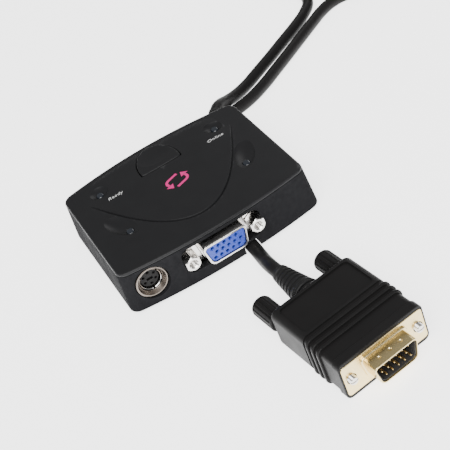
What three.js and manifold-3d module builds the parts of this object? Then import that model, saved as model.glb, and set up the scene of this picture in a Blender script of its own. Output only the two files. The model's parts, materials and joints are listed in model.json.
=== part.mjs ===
// A two-port keyboard, video and mouse switch with one captive video lead.
// Millimetres, +Z up, front (ports) toward -Y. The scene stands on z = 0.
import * as THREE from "three";
import { mergeVertices } from "three/addons/utils/BufferGeometryUtils.js";
import Module from "manifold-3d";

const wasm = await Module();
wasm.setup();

// ---------------------------------------------------------------- driving dimensions
const CASE_W = 72;          // at the seam, left to right
const CASE_D = 55;          // at the corners, front to back
const CASE_H = 16.5;        // underside to the lid's rim
const BOW_FRONT = 3.2;      // how far the front wall bulges at its middle
const BOW_BACK = 4.2;
const CORNER_R = 3;
const DRAFT = 1.1;          // the case is wider at the bottom by this much on each side
const WALL = 1.8;
const GAP = 0.3;            // between pieces that touch
const FOOT_H = 1.2;
const FOOT_R = 4;
const RIM = 1;              // height of the lid's edge above the seam
const LID_T = 1.8;
const PANEL_RISE = 0.4;     // raised control panel on the lid
const PANEL_HALF_W = 29;
const BUTTON_W = 16;
const BUTTON_D = 14.5;
const BOARD_W = 52;
const BOARD_T = 1.6;
const SCREW_SPACING = 25;   // between the two screws of a 15-way video connector
const SHELL_W = 16.9;       // video socket's metal shell
const SHELL_H = 8.3;
const SHELL_L = 6;
const FLANGE_W = 30.8;
const FLANGE_H = 9.2;
const DIN_R = 5.8;          // mini-DIN bezel
const DIN_X = -26.8;
const CORD_D = 4.8;
const CHANNEL_X = 8.6;      // cord channel under the case
const GLAND_X = 27.5;
const COIL_R = 27;          // middle of the coil's turns
const COIL_W = 14.4;
const COIL_H = 9.6;
const HOOD_W = 31.4;        // plug
const HOOD_L = 33;
const HOOD_H = 14.2;
const RELIEF_L = 18;

// ---------------------------------------------------------------- where the bulged walls run
const bow = (x, half, rise) => rise * (1 - (x / half) ** 2);
const backY = (x) => CASE_D / 2 + bow(x, CASE_W / 2, BOW_BACK);
const innerFrontY = (x) => -(CASE_D / 2 - WALL) - bow(x, CASE_W / 2 - WALL, BOW_FRONT);
const innerBackY = (x) => CASE_D / 2 - WALL + bow(x, CASE_W / 2 - WALL, BOW_BACK);
const draftAt = (z) => DRAFT * (SEAM_Z - z) / (SEAM_Z - BOTTOM_Z);

// ---------------------------------------------------------------- places worked out from them
const BOTTOM_Z = FOOT_H + GAP;
const TOP_Z = BOTTOM_Z + CASE_H;
const SEAM_Z = TOP_Z - RIM;
const FLOOR_Z = BOTTOM_Z + WALL;
const LID_UNDER = TOP_Z - LID_T;
const PANEL_Z = TOP_Z + PANEL_RISE;
const CHANNEL_W = CORD_D + 1.2;
const CHANNEL_TOP = CORD_D + 0.4;
const ARCH_TOP = CHANNEL_TOP + 0.8;
const BOARD_Z = ARCH_TOP + 0.9;
const BOARD_TOP = BOARD_Z + BOARD_T;
const SOCKET_H = Math.max(FLANGE_H, SHELL_H + 0.8);
const VGA_Z = ARCH_TOP + GAP + SOCKET_H / 2;
const DIN_Z = LID_UNDER - 0.2 - DIN_R;
const GLAND_Z = BOARD_TOP + 1.2;
const BUTTON_Y = CASE_D / 2 + BOW_BACK - 10;
const PANEL_BACK = CASE_D / 2 - 12.5;
const PANEL_FRONT = -CASE_D / 2 + 7;
const LENSES = {
  power: [-24, PANEL_BACK + 4], active: [24, PANEL_BACK + 4],
  port_one: [-23.3, -8], port_two: [23.3, -8],
};
const DIN_FRONT = -(CASE_D / 2 + bow(DIN_X, CASE_W / 2, BOW_FRONT)) - 0.1;
const DIN_HOUSING_W = 12.4;
const DIN_HOUSING_FRONT = innerFrontY(DIN_X - DIN_HOUSING_W / 2) + 1;
const DIN_BACK = DIN_HOUSING_FRONT + 9;
const DIN_BORE = 4.4;
const screwX = CASE_W / 2 - 5.5;
const CASE_SCREWS = [CASE_D / 2 - 10.5, DIN_BACK + 7.4].flatMap((y) => [[screwX, y], [-screwX, y]]);
const BOARD_SCREWS = [[15.5, 3], [-15.5, 3]];

// ---------------------------------------------------------------- materials
const paint = (color, roughness, metalness = 0) =>
  new THREE.MeshStandardMaterial({ color, roughness, metalness });
const CASE_BLACK = paint(0x1d1d1f, 0.42);
const SOFT_BLACK = paint(0x161617, 0.62);
const RUBBER = paint(0x141414, 0.85);
const NICKEL = paint(0xc9c9c6, 0.25, 1);
const GOLD = paint(0xc8ab5c, 0.28, 1);
const BRASS = paint(0xb89a54, 0.3, 1);
const BEZEL_GREY = paint(0x8a8078, 0.4, 1);
const STEEL = paint(0x8f9194, 0.4, 1);
const PORT_BLUE = paint(0x3f5fc4, 0.45);
const BOARD_GREEN = paint(0x1f5a35, 0.6);
const CHIP_BLACK = paint(0x202022, 0.5);
const LENS_DARK = paint(0x1b2226, 0.15);
const LED_CLEAR = paint(0x9fd08a, 0.3);
const WHITE_NYLON = paint(0xe6e1d4, 0.5);
const CAN_ALUMINIUM = paint(0xb7b9bc, 0.35, 1);

// ---------------------------------------------------------------- solids
function outward(geometry) {
  const bare = new THREE.BufferGeometry();
  bare.setAttribute("position", geometry.getAttribute("position").clone());
  if (geometry.index) bare.setIndex(geometry.index.clone());
  const g = mergeVertices(bare, 1e-4);
  const p = g.getAttribute("position"), index = Array.from(g.index.array);
  const a = new THREE.Vector3(), b = new THREE.Vector3(), c = new THREE.Vector3();
  const kept = [];
  let volume = 0;
  for (let i = 0; i < index.length; i += 3) {
    const [u, v, w] = index.slice(i, i + 3);
    if (u === v || v === w || u === w) continue;
    const across = b.fromBufferAttribute(p, v).cross(c.fromBufferAttribute(p, w));
    volume += a.fromBufferAttribute(p, u).dot(across);
    kept.push(u, v, w);
  }
  if (volume < 0) kept.reverse();
  g.setIndex(kept);
  g.computeVertexNormals();
  return g;
}

function toManifold(geometry) {
  const g = outward(geometry);
  return new wasm.Manifold(new wasm.Mesh({
    numProp: 3,
    vertProperties: Float32Array.from(g.getAttribute("position").array),
    triVerts: Uint32Array.from(g.index.array),
  }));
}

function toGeometry(manifold) {
  const m = manifold.getMesh();
  const g = new THREE.BufferGeometry();
  g.setAttribute("position", new THREE.BufferAttribute(Float32Array.from(m.vertProperties), 3));
  g.setIndex(Array.from(m.triVerts));
  g.computeVertexNormals();
  return g;
}

const chain = (operation) => (first, ...others) =>
  toGeometry(others.reduce((sum, g) => sum[operation](toManifold(g)), toManifold(first)));
const join = chain("add");
const cut = chain("subtract");
const common = chain("intersect");

const box = (w, d, h, x = 0, y = 0, z = 0) =>
  new THREE.BoxGeometry(w, d, h).translate(x, y, z);

function post(radius, z0, z1, x = 0, y = 0, sides = 16) {
  return new THREE.CylinderGeometry(radius, radius, z1 - z0, sides)
    .rotateX(Math.PI / 2).translate(x, y, (z0 + z1) / 2);
}

function rod(radius, y0, y1, x = 0, z = 0, sides = 16) {
  return new THREE.CylinderGeometry(radius, radius, y1 - y0, sides).translate(x, (y0 + y1) / 2, z);
}

function roundShape(corners, radius, steps = 3) {
  const points = [];
  corners.forEach(([x, y], i) => {
    const corner = new THREE.Vector2(x, y);
    const ends = [corners.at(i - 1), corners[(i + 1) % corners.length]].map(([u, v]) =>
      corner.clone().add(new THREE.Vector2(u - x, v - y).setLength(radius)));
    points.push(...new THREE.QuadraticBezierCurve(ends[0], corner, ends[1]).getPoints(steps));
  });
  return new THREE.Shape(points);
}

const oblong = (w, h, radius = Math.min(w, h) / 4) =>
  roundShape([[-w / 2, -h / 2], [w / 2, -h / 2], [w / 2, h / 2], [-w / 2, h / 2]], radius);

const upward = (shape, z0, z1) =>
  new THREE.ExtrudeGeometry(shape, { depth: z1 - z0, bevelEnabled: false, curveSegments: 8 })
    .translate(0, 0, z0);

const alongY = (shape, y0, y1) =>
  upward(shape, 0, y1 - y0).rotateX(Math.PI / 2).translate(0, y1, 0);

const turned = (profile, sides = 24) =>
  new THREE.LatheGeometry(profile.map(([r, y]) => new THREE.Vector2(r, y)), sides);

// Solid between outlines with the same number of points, from the lowest up.
function loft(sections) {
  const n = sections[0].points.length;
  const position = sections.flatMap(({ points, z }) => points.flatMap((p) => [p.x, p.y, z]));
  const cap = THREE.ShapeUtils.triangulateShape(sections[0].points, []);
  const index = cap.flatMap(([a, b, c]) => [a, c, b]);
  for (let s = 0; s < sections.length - 1; s++) {
    for (let i = 0; i < n; i++) {
      const a = s * n + i, b = s * n + (i + 1) % n;
      index.push(a, b, a + n, b, b + n, a + n);
    }
  }
  const top = (sections.length - 1) * n;
  index.push(...cap.flat().map((i) => i + top));
  const g = new THREE.BufferGeometry();
  g.setAttribute("position", new THREE.Float32BufferAttribute(position, 3));
  g.setIndex(index);
  return g;
}

// ---------------------------------------------------------------- the case's outline
// Straight ends, long sides bulged along a parabola, corners rounded tangent to both.
function caseOutline(inset) {
  const half = CASE_W / 2 - inset, depth = CASE_D / 2 - inset;
  const r = Math.max(CORNER_R - inset / 2, 1), turn = half - r;
  const points = [];
  for (const [side, rise] of [[-1, BOW_FRONT], [1, BOW_BACK]]) {
    const y = (x) => side * (depth + bow(x, half, rise));
    const slope = side * 2 * rise * turn / half ** 2;
    const tip = new THREE.Vector2(-side * -half, y(turn) - slope * r);
    const along = new THREE.Vector2(side * turn, y(turn));
    const end = new THREE.Vector2(tip.x, side * (depth - r));
    const corner = new THREE.QuadraticBezierCurve(end, tip, along).getPoints(3);
    const mirrored = corner.map((p) => new THREE.Vector2(-p.x, p.y)).reverse();
    points.push(...corner);
    for (let i = 1; i < 12; i++) {
      const x = side * turn * (1 - i / 6);
      points.push(new THREE.Vector2(x, y(x)));
    }
    points.push(...mirrored);
  }
  return points;
}

const caseSolid = (inset, z0, z1) =>
  loft([{ points: caseOutline(inset), z: z0 }, { points: caseOutline(inset), z: z1 }]);

// ---------------------------------------------------------------- case pieces
const vgaShape = (inset) => {
  const w = SHELL_W / 2 - inset, h = SHELL_H / 2 - inset, lean = 1.4;
  return roundShape([[-w + lean, -h], [w - lean, -h], [w, h], [-w, h]], 1.8 - inset / 2);
};

function lowerShell() {
  const outer = loft([
    { points: caseOutline(0.5 - DRAFT), z: BOTTOM_Z },
    { points: caseOutline(-DRAFT), z: BOTTOM_Z + 0.6 },
    { points: caseOutline(0), z: SEAM_Z - GAP },
  ]);
  const archH = ARCH_TOP - BOTTOM_Z;
  const arch = box(CHANNEL_W + 1.8, CASE_D * 2, archH, CHANNEL_X, 0, BOTTOM_Z + archH / 2);
  const bosses = CASE_SCREWS.map(([x, y]) => post(4, BOTTOM_Z + 0.5, BOARD_Z - 0.4, x, y));
  const standoffs = BOARD_SCREWS.map(([x, y]) => post(2.5, BOTTOM_Z + 0.5, BOARD_Z - GAP, x, y, 12));
  const hollow = cut(outer, caseSolid(WALL, FLOOR_Z, SEAM_Z + 1));
  const body = common(join(hollow, arch, ...bosses, ...standoffs), outer);
  const screwHoles = CASE_SCREWS.flatMap(([x, y]) =>
    [post(1.6, 0, BOARD_Z, x, y, 12), post(2.8, 0, BOTTOM_Z + 2.4, x, y)]);
  const pilots = BOARD_SCREWS.map(([x, y]) => post(1.15, FLOOR_Z, BOARD_Z, x, y, 10));
  const socketHole = alongY(oblong(FLANGE_W - 0.6, SOCKET_H + 0.4, 3), -CASE_D, 0).translate(0, 0, VGA_Z);
  const dinHole = rod(DIN_R + GAP, -CASE_D, -CASE_D / 2 + 6, DIN_X, DIN_Z, 28);
  const leadHoles = [GLAND_X, -GLAND_X].map((x) => rod(3.3, CASE_D / 2 - 6, CASE_D, x, GLAND_Z, 20));
  const channel = box(CHANNEL_W, CASE_D * 2, CHANNEL_TOP * 2, CHANNEL_X);
  return cut(body, ...screwHoles, ...pilots, socketHole, dinHole, ...leadHoles, channel);
}

// The raised panel reaches from the back edge to a parabola that points at the ports.
function panelShape(inset) {
  const reach = PANEL_HALF_W - inset, front = PANEL_FRONT + inset * 1.4, points = [];
  for (let i = -10; i <= 10; i++) {
    const x = reach * i / 10;
    points.push([x, front + (PANEL_BACK - front) * (i / 10) ** 2]);
  }
  const back = [1, 0.5, 0, -0.5, -1].map((t) => [reach * t, backY(reach * t) - 1.2 - inset]);
  return new THREE.Shape([...points, ...back].map(([x, y]) => new THREE.Vector2(x, y)));
}

// Straight front edge, domed back.
function buttonShape(grow) {
  const w = BUTTON_W / 2 + grow, front = -BUTTON_D / 2 - grow, back = BUTTON_D / 2 + grow;
  const points = [new THREE.Vector2(-w * 0.86, front), new THREE.Vector2(w * 0.86, front)];
  for (let i = 0; i <= 10; i++) {
    const a = Math.PI * i / 10;
    points.push(new THREE.Vector2(w * Math.cos(a), front + 2.4 + (back - front - 2.4) * Math.sin(a)));
  }
  return new THREE.Shape(points);
}

const LENS_W = 2.6;
const LENS_D = 3.2;

function lid() {
  const plate = loft([
    { points: caseOutline(0), z: SEAM_Z }, { points: caseOutline(0.05), z: TOP_Z - 0.6 },
    { points: caseOutline(0.35), z: TOP_Z - 0.2 }, { points: caseOutline(1), z: TOP_Z },
  ]);
  const inner = caseSolid(WALL + GAP, LID_UNDER, SEAM_Z + 0.2);
  const lip = cut(caseSolid(WALL + GAP, LID_UNDER - 1.4, LID_UNDER + 0.2),
    caseSolid(WALL + GAP + 1.2, 0, LID_UNDER + 0.1),
    box(CASE_W, CASE_D, 40, 0, DIN_BACK + 3.9 - CASE_D / 2));
  const posts = CASE_SCREWS.map(([x, y]) => post(2.6, BOARD_Z, LID_UNDER + 0.5, x, y, 14));
  const pilots = CASE_SCREWS.map(([x, y]) => post(1.15, 0, BOARD_Z + 5.5, x, y, 10));
  const panel = upward(panelShape(0), LID_UNDER + 0.5, PANEL_Z);
  const well = upward(buttonShape(GAP), 0, 30).translate(0, BUTTON_Y, 0);
  const lensHoles = Object.values(LENSES).map(([x, y]) =>
    box(LENS_W + 2 * GAP, LENS_D + 2 * GAP, 30, x, y, TOP_Z));
  const bowl = (length) => new THREE.SphereGeometry(1, 16, 10).scale(3, length, 1);
  const dimples = Object.values(LENSES).map(([x, y], i) => i < 2
    ? bowl(3).translate(x, y + 0.4, PANEL_Z)
    : bowl(6).rotateZ(-Math.sign(x) * 0.42).translate(x, y + 2.5, TOP_Z));
  const body = join(plate, inner, lip, ...posts, panel);
  return cut(body, ...pilots, well, ...lensHoles, ...dimples);
}

function selectButton() {
  const cap = upward(buttonShape(0), LID_UNDER - 1.2, PANEL_Z + 0.2);
  const retainer = upward(oblong(BUTTON_W + 2.4, BUTTON_D / 2, 1.5), LID_UNDER - 1.5, LID_UNDER - GAP);
  return join(cap, retainer, post(1.8, SWITCH_TOP + GAP, LID_UNDER - 1, 0, 0, 12));
}

const SWITCH_BODY_H = 3.5;
const SWITCH_Z = BOARD_TOP + GAP;
const SWITCH_TOP = SWITCH_Z + SWITCH_BODY_H + 1.3;

const switchBody = () => cut(box(6, 6, SWITCH_BODY_H), post(2, -0.3, SWITCH_BODY_H));
const switchPlunger = () => post(1.7, SWITCH_Z + SWITCH_BODY_H / 2 + 0.4, SWITCH_TOP, 0, 0, 14);

function circuitBoard() {
  const front = innerFrontY(BOARD_W / 2) + 2, back = CASE_D / 2 - WALL - 1.5;
  const plate = box(BOARD_W, back - front, BOARD_T, 0, (front + back) / 2, BOARD_Z + BOARD_T / 2);
  const dinNotch = box(40, 40, 10, DIN_X + 6.9 - 20, DIN_BACK + GAP - 20, BOARD_Z);
  const holes = BOARD_SCREWS.map(([x, y]) => post(1.3, 0, 30, x, y, 12));
  return cut(plate, dinNotch, ...holes);
}

function screw(headR, headH, shankR, shankL) {
  const socket = box(0.6, headR * 1.4, 0.8);
  return cut(join(post(headR, 0, headH), post(shankR, headH - 0.1, headH + shankL, 0, 0, 10)), socket);
}

const foot = () => turned([[0, 0], [FOOT_R - 0.5, 0], [FOOT_R, 0.5], [FOOT_R, FOOT_H], [0, FOOT_H]], 20)
  .rotateX(Math.PI / 2);

// ---------------------------------------------------------------- ports
const FLANGE_T = 0.8;
const FLANGE_Y = innerFrontY(FLANGE_W / 2) + GAP;
const SOCKET_PINS = [1, 0, -1].flatMap((row) => [-2, -1, 0, 1, 2].map((i) =>
  [i * 2.29 + (row === 0 ? 1.14 : 0) - 0.4, row * 1.98]));

function vgaShell() {
  const plate = alongY(oblong(FLANGE_W, FLANGE_H, 1), 0, FLANGE_T);
  const tube = alongY(vgaShape(0), -SHELL_L, FLANGE_T);
  const screwHoles = [-1, 1].map((s) => rod(1.7, -1, 2, s * SCREW_SPACING / 2, 0, 12));
  return cut(join(plate, tube), alongY(vgaShape(0.5), -SHELL_L - 1, 2), ...screwHoles);
}

function vgaInsert() {
  const holes = SOCKET_PINS.map(([x, z]) => rod(0.55, -SHELL_L - 1, -SHELL_L + 3.2, x, z, 8));
  return cut(alongY(vgaShape(0.5 + GAP), -SHELL_L + 0.4, FLANGE_T - 0.1), ...holes);
}

function jackscrew() {
  const head = rod(2.9, -5.2, -GAP, 0, 0, 6);
  return cut(join(head, rod(1.4, -0.4, FLANGE_T + 2.6, 0, 0, 12)), rod(1.25, -6, -1.6, 0, 0, 12));
}

const dinBezel = () => turned([
  [DIN_BORE - 0.1, DIN_HOUSING_FRONT - GAP], [DIN_R, DIN_HOUSING_FRONT - GAP], [DIN_R, DIN_FRONT],
  [DIN_R - 0.35, DIN_FRONT], [DIN_BORE - 0.1, DIN_FRONT + 1.5],
  [DIN_BORE - 0.1, DIN_HOUSING_FRONT - GAP],
], 32);

const dinHousing = () => cut(
  box(DIN_HOUSING_W, 9, 2 * DIN_R - 0.2, 0, DIN_HOUSING_FRONT + 4.5),
  rod(DIN_BORE, DIN_HOUSING_FRONT - 1, DIN_BACK - 1.2, 0, 0, 24));

const dinShield = () => turned([
  [DIN_BORE - 0.75, DIN_FRONT + 1.7], [DIN_BORE - 0.4, DIN_FRONT + 1.7],
  [DIN_BORE - 0.4, DIN_BACK - 1.6], [DIN_BORE - 0.75, DIN_BACK - 1.6], [DIN_BORE - 0.75, DIN_FRONT + 1.7],
], 24);

function dinCore() {
  const pins = [30, 90, 150, 210, 270, 330].map((a) => a * Math.PI / 180);
  const face = DIN_FRONT + 2.6;
  const holes = pins.map((a) => rod(0.45, face - 1, face + 3, 2.3 * Math.cos(a), 2.3 * Math.sin(a), 8));
  return cut(rod(DIN_BORE - 1.05, face, DIN_BACK - 1.6, 0, 0, 20), ...holes,
    box(2, 8, 0.9, 0, face - 0.2, -0.2));
}

// ---------------------------------------------------------------- lead, at the case
const COLLAR_OUT = backY(GLAND_X - 4.2) + draftAt(GLAND_Z - 4.2) + GAP;
const COLLAR_IN = innerBackY(GLAND_X + 4.2) - GAP;
const RELIEF_TURN = 30 * Math.PI / 180;

const collar = () => join(
  rod(4.2, COLLAR_IN - 1.2, COLLAR_IN, 0, 0, 20),
  rod(3, COLLAR_IN - 0.1, COLLAR_OUT + 0.1, 0, 0, 20),
  rod(4.2, COLLAR_OUT, COLLAR_OUT + 1.2, 0, 0, 20));

function leadRelief() {
  const cone = new THREE.CylinderGeometry(CORD_D / 2 + 0.35, 3.3, 9, 20).translate(0, 4.5, 0)
    .rotateZ(-RELIEF_TURN).translate(0, COLLAR_OUT + 0.4, 0);
  return join(collar(), cone);
}

const blankingPlug = () => cut(collar(), rod(2.2, COLLAR_OUT + 0.6, CASE_D, 0, 0, 16));

function tube(points, diameter, sides = 8) {
  const places = points.map((p) => new THREE.Vector3(...p));
  const curve = new THREE.CatmullRomCurve3(places, false, "centripetal");
  const ring = new THREE.Shape([...Array(sides).keys()].map((i) => new THREE.Vector2(
    diameter / 2 * Math.cos(2 * Math.PI * i / sides), diameter / 2 * Math.sin(2 * Math.PI * i / sides))));
  const steps = Math.ceil(curve.getLength() / (diameter * 2.2));
  return new THREE.ExtrudeGeometry(ring, { extrudePath: curve, steps, bevelEnabled: false });
}

// ---------------------------------------------------------------- the cord's route, chosen by hand
// Behind the case y counts from its back wall, and in front of it from its front wall.
const BACK_Y = CASE_D / 2 + BOW_BACK;
const FRONT_Y = -CASE_D / 2 - BOW_FRONT;
const from = (wallY, points) => points.map(([x, y, z]) => [x, y + wallY, z]);
const LEAD_Y = bow(GLAND_X - 4.2, CASE_W / 2, BOW_BACK) + 5.92;     // the tip of its relief
const CORD_OUT = from(BACK_Y, [
  [GLAND_X + 4.65, LEAD_Y, 9.68], [GLAND_X + 5.6, LEAD_Y + 1.6, 9.6], [34.6, 11.9, 9.2], [36.9, 14.4, 8],
  [40.6, 17.6, 5.8], [46, 21.5, 3.6],
  [52.5, 25.5, 2.45], [60, 29.7, 2.45], [68.5, 34.5, 2.45], [78, 40.2, 2.45], [87.5, 45.9, 2.45],
  [95.5, 51.5, 2.45], [101, 57.7, 2.45], [103.1, 64.9, 2.45], [102.8, 72.5, 2.45],
  [102.4, 79.9, 2.45], [103.9, 87.3, 2.45],
]);
const CORD_BACK = [
  ...from(BACK_Y, [
    [135.3, 40.2, 2.45], [128.6, 41.5, 2.45], [121.8, 44.7, 2.45], [114.8, 47.9, 2.45],
    [107.8, 48.3, 2.45], [100.9, 45.9, 2.45], [94.6, 42.2, 2.45], [86, 36.9, 2.45],
    [76, 30.7, 2.45], [66, 24.6, 2.45], [57, 19.3, 2.45], [48.5, 15.5, 2.45], [40.5, 13.8, 2.45],
    [33, 13.9, 2.45], [26.5, 14.4, 2.45], [20.6, 14.3, 2.45], [16, 13.4, 2.45], [12.1, 10.8, 2.45],
    [9.5, 6.9, 2.45], [8.6, 2.3, 2.45],
  ]),
  ...[26, 12, -4, -20].map((y) => [CHANNEL_X, y, CORD_D / 2 + 0.05]),
  ...from(FRONT_Y, [
    [8.6, -0.3, 2.45], [8.4, -5.8, 2.55], [7.9, -10.8, 3.9], [7.4, -15.8, 6], [7.35, -19.6, 6.95],
    [7.66, -22.6, 7.1],
  ]),
];
const COIL_AT = [139.9, BACK_Y + 77.2];

function cordCoil() {
  const inner = COIL_R - COIL_W / 2, outer = COIL_R + COIL_W / 2, c = 2.4;
  return turned([[inner, c], [inner + c, 0], [outer - c, 0], [outer, c], [outer, COIL_H - c],
    [outer - c, COIL_H], [inner + c, COIL_H], [inner, COIL_H - c], [inner, c]], 40).rotateX(Math.PI / 2);
}

function coilTie() {
  const w = COIL_W + 2 * GAP + 1, h = COIL_H + GAP;
  const strap = alongY(oblong(w + 2, h * 2 + 2, 2.5), -4, 4);
  const hollow = alongY(oblong(w, h * 2, 2), -5, 5);
  return cut(strap, hollow, box(w * 2, 20, h * 2, 0, 0, -h));
}

// ---------------------------------------------------------------- plug
const PLUG_AT = [10, FRONT_Y - 40.8, HOOD_H / 2];
const PLUG_TURN = 7.2 * Math.PI / 180;
const ROD_R = 1.45;
const PLATE_T = 0.8;

// In the plug's own frame the hood runs from y = 0 back at the cord to y = -HOOD_L at its face.
function plugHood() {
  const block = (inset, y0, y1) => alongY(oblong(HOOD_W - 2 * inset, HOOD_H - 2 * inset, 2), y0, y1);
  const ribs = [8, 10.6, 13.2].map((y) => block(-0.35, -HOOD_L + y, -HOOD_L + y + 1.1));
  const body = join(block(0, -HOOD_L + 16, 0), block(0.35, -HOOD_L, -HOOD_L + 17), ...ribs,
    block(0, -HOOD_L, -HOOD_L + 2.4));
  const rods = [-1, 1].map((s) => rod(ROD_R + GAP, -HOOD_L - 1, 1, s * SCREW_SPACING / 2, 0, 12));
  const neck = rod(3.3, -7, 1, 0, 0, 16);
  const pocket = alongY(vgaShape(0.75), -HOOD_L - 1, -HOOD_L + 6.5);
  const table = box(HOOD_W * 2, HOOD_L * 3, 2, 0, 0, -HOOD_H / 2 - 1);
  return cut(body, ...rods, neck, pocket, table);
}

const plugRelief = () => join(
  rod(2.95, -6.4, 0.6, 0, 0, 16), rod(5.4, GAP, 1.9, 0, 0, 20), rod(3.9, 1.8, 4.2, 0, 0, 16),
  turned([[0, 4.1], [5, 4.1], [4.8, 7], [CORD_D / 2 + 0.5, RELIEF_L], [0, RELIEF_L]], 16));

function plugShell() {
  const plate = alongY(oblong(HOOD_W - 1.2, HOOD_H - 2.6, 1.2), -PLATE_T, 0);
  const shell = alongY(vgaShape(0.35), -PLATE_T - 5.8, 0);
  const screwHoles = [-1, 1].map((s) => rod(ROD_R + GAP, -3, 2, s * SCREW_SPACING / 2, 0, 12));
  const dimples = [-4, 0, 4].map((x) =>
    new THREE.SphereGeometry(0.7, 8, 6).translate(x, -4, SHELL_H / 2 - 0.2));
  return cut(join(plate, shell), alongY(vgaShape(0.75), -9, 2), ...screwHoles, ...dimples);
}

const plugInsulator = () => cut(
  alongY(vgaShape(0.75 + GAP), -PLATE_T - 1.2, 1.4),
  ...SOCKET_PINS.map(([x, z]) => rod(0.68, -8, 4, -x, z, 8)));

const plugPins = () => join(alongY(vgaShape(1.9), 1.7, 3.2),
  ...SOCKET_PINS.map(([x, z]) => rod(0.38, -PLATE_T - 4.9, 2, -x, z, 6)));

function thumbscrew() {
  const knob = turned([[0, 0.6], [3.3, 0.6], [3.65, 1.1], [3.65, 11.4], [2.9, 12], [0, 12]], 20);
  const flutes = [...Array(10).keys()].map((i) => rod(0.42, 1.6, 11, 3.85 * Math.cos(i * Math.PI / 5),
    3.85 * Math.sin(i * Math.PI / 5), 6));
  return join(cut(knob, ...flutes), rod(ROD_R, -HOOD_L - PLATE_T - GAP - 1.6, 1, 0, 0, 12));
}

// ---------------------------------------------------------------- assembly
const group = new THREE.Group();
const device = new THREE.Group();
const lead = new THREE.Group();
const plug = new THREE.Group();
group.add(device, lead);
lead.add(plug);

function add(parent, name, geometry, material, at = [0, 0, 0]) {
  const mesh = new THREE.Mesh(outward(geometry), material.clone());
  mesh.name = name;
  mesh.position.set(...at);
  parent.add(mesh);
  return mesh;
}

add(device, "lower_shell", lowerShell(), CASE_BLACK);
add(device, "top_lid", lid(), CASE_BLACK);
add(device, "select_button", selectButton(), CASE_BLACK, [0, BUTTON_Y, 0]);
[[27, -20], [-27, -20], [21.5, 22], [-21.5, 22]].forEach(([x, y], i) =>
  add(device, `foot_${i + 1}`, foot(), RUBBER, [x * (CASE_W / 2 - 6) / 30, y, 0]));
CASE_SCREWS.forEach(([x, y], i) =>
  add(device, `case_screw_${i + 1}`, screw(2.4, 1.3, 0.85, 7), STEEL, [x, y, BOTTOM_Z + 0.8]));

add(device, "circuit_board", circuitBoard(), BOARD_GREEN);
BOARD_SCREWS.forEach(([x, y], i) =>
  add(device, `board_screw_${i + 1}`, screw(2.2, 1.1, 0.85, 5).rotateX(Math.PI), STEEL,
    [x, y, BOARD_TOP + GAP + 1.1]));
add(device, "switch_body", switchBody(), CHIP_BLACK, [0, BUTTON_Y, SWITCH_Z + SWITCH_BODY_H / 2]);
add(device, "switch_plunger", switchPlunger(), SOFT_BLACK, [0, BUTTON_Y, 0]);
for (const [name, [x, y]] of Object.entries(LENSES)) {
  add(device, `${name}_lens`, box(LENS_W, LENS_D, 3.6), LENS_DARK, [x, y, TOP_Z - 2.4 + (y > 0 ? 0.2 : 0)]);
  const led = turned([[0, 0], [1.5, 0], [1.5, 3], [0.9, 4.2], [0, 4.6]], 14).rotateX(Math.PI / 2);
  add(device, `${name}_led`, led, LED_CLEAR, [x, y, BOARD_TOP + GAP]);
}
const onBoard = (name, w, d, h, material, x, y) =>
  add(device, name, box(w, d, h), material, [x, y, BOARD_TOP + GAP + h / 2]);
onBoard("switching_chip", 10, 10, 1.4, CHIP_BLACK, -3, -4);
onBoard("video_chip", 7, 5, 1.4, CHIP_BLACK, 10, -7);
onBoard("memory_chip", 5, 4, 1.3, CHIP_BLACK, -9, 8);
onBoard("crystal", 9, 3.6, 3.4, CAN_ALUMINIUM, -17, -6);
onBoard("lead_header", 8, 4.6, 4.6, WHITE_NYLON, 13, CASE_D / 2 - 13.5);
[[7, 7], [-19, 12]].forEach(([x, y], i) => {
  const can = turned([[0, 0], [2, 0], [2, 5.2], [0, 5.2]], 16).rotateX(Math.PI / 2);
  add(device, `capacitor_${i + 1}`, can, CAN_ALUMINIUM, [x, y, BOARD_TOP + GAP]);
});

add(device, "video_socket_shell", vgaShell(), NICKEL, [0, FLANGE_Y, VGA_Z]);
add(device, "video_socket_insert", vgaInsert(), PORT_BLUE, [0, FLANGE_Y, VGA_Z]);
add(device, "video_socket_body", box(17, 11, 6.6), CHIP_BLACK,
  [0, FLANGE_Y + FLANGE_T + GAP + 5.5, BOARD_TOP + GAP + 3.3]);
for (const [side, word] of [[-1, "left"], [1, "right"]]) {
  add(device, `jackscrew_${word}`, jackscrew(), NICKEL, [side * SCREW_SPACING / 2, FLANGE_Y, VGA_Z]);
}
add(device, "mini_din_bezel", dinBezel(), BEZEL_GREY, [DIN_X, 0, DIN_Z]);
add(device, "mini_din_housing", dinHousing(), CHIP_BLACK, [DIN_X, 0, DIN_Z]);
add(device, "mini_din_shield", dinShield(), NICKEL, [DIN_X, 0, DIN_Z]);
add(device, "mini_din_core", dinCore(), SOFT_BLACK, [DIN_X, 0, DIN_Z]);
add(device, "blanking_plug", blankingPlug(), RUBBER, [-GLAND_X, 0, GLAND_Z]);
const relief = add(device, "lead_relief", leadRelief(), RUBBER, [GLAND_X, 0, GLAND_Z]);
const innerStart = COLLAR_IN - 1.2 - 1;
add(device, "inner_lead", tube([
  [GLAND_X, innerStart, GLAND_Z], [GLAND_X - 0.6, innerStart - 1.2, GLAND_Z + 0.1],
  [GLAND_X - 4.5, innerStart - 1, GLAND_Z + 0.6], [GLAND_X - 8, innerStart - 4, GLAND_Z + 1],
  [GLAND_X - 10, innerStart - 7.5, BOARD_TOP + 3]], 2.6), SOFT_BLACK);

// The case stands with the middle of its footprint on the origin; the relief is the lead's.
device.remove(relief);
const footprint = new THREE.Box3().setFromObject(device).getCenter(new THREE.Vector3());
device.add(relief);
device.position.set(-footprint.x, -footprint.y, 0);

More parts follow.
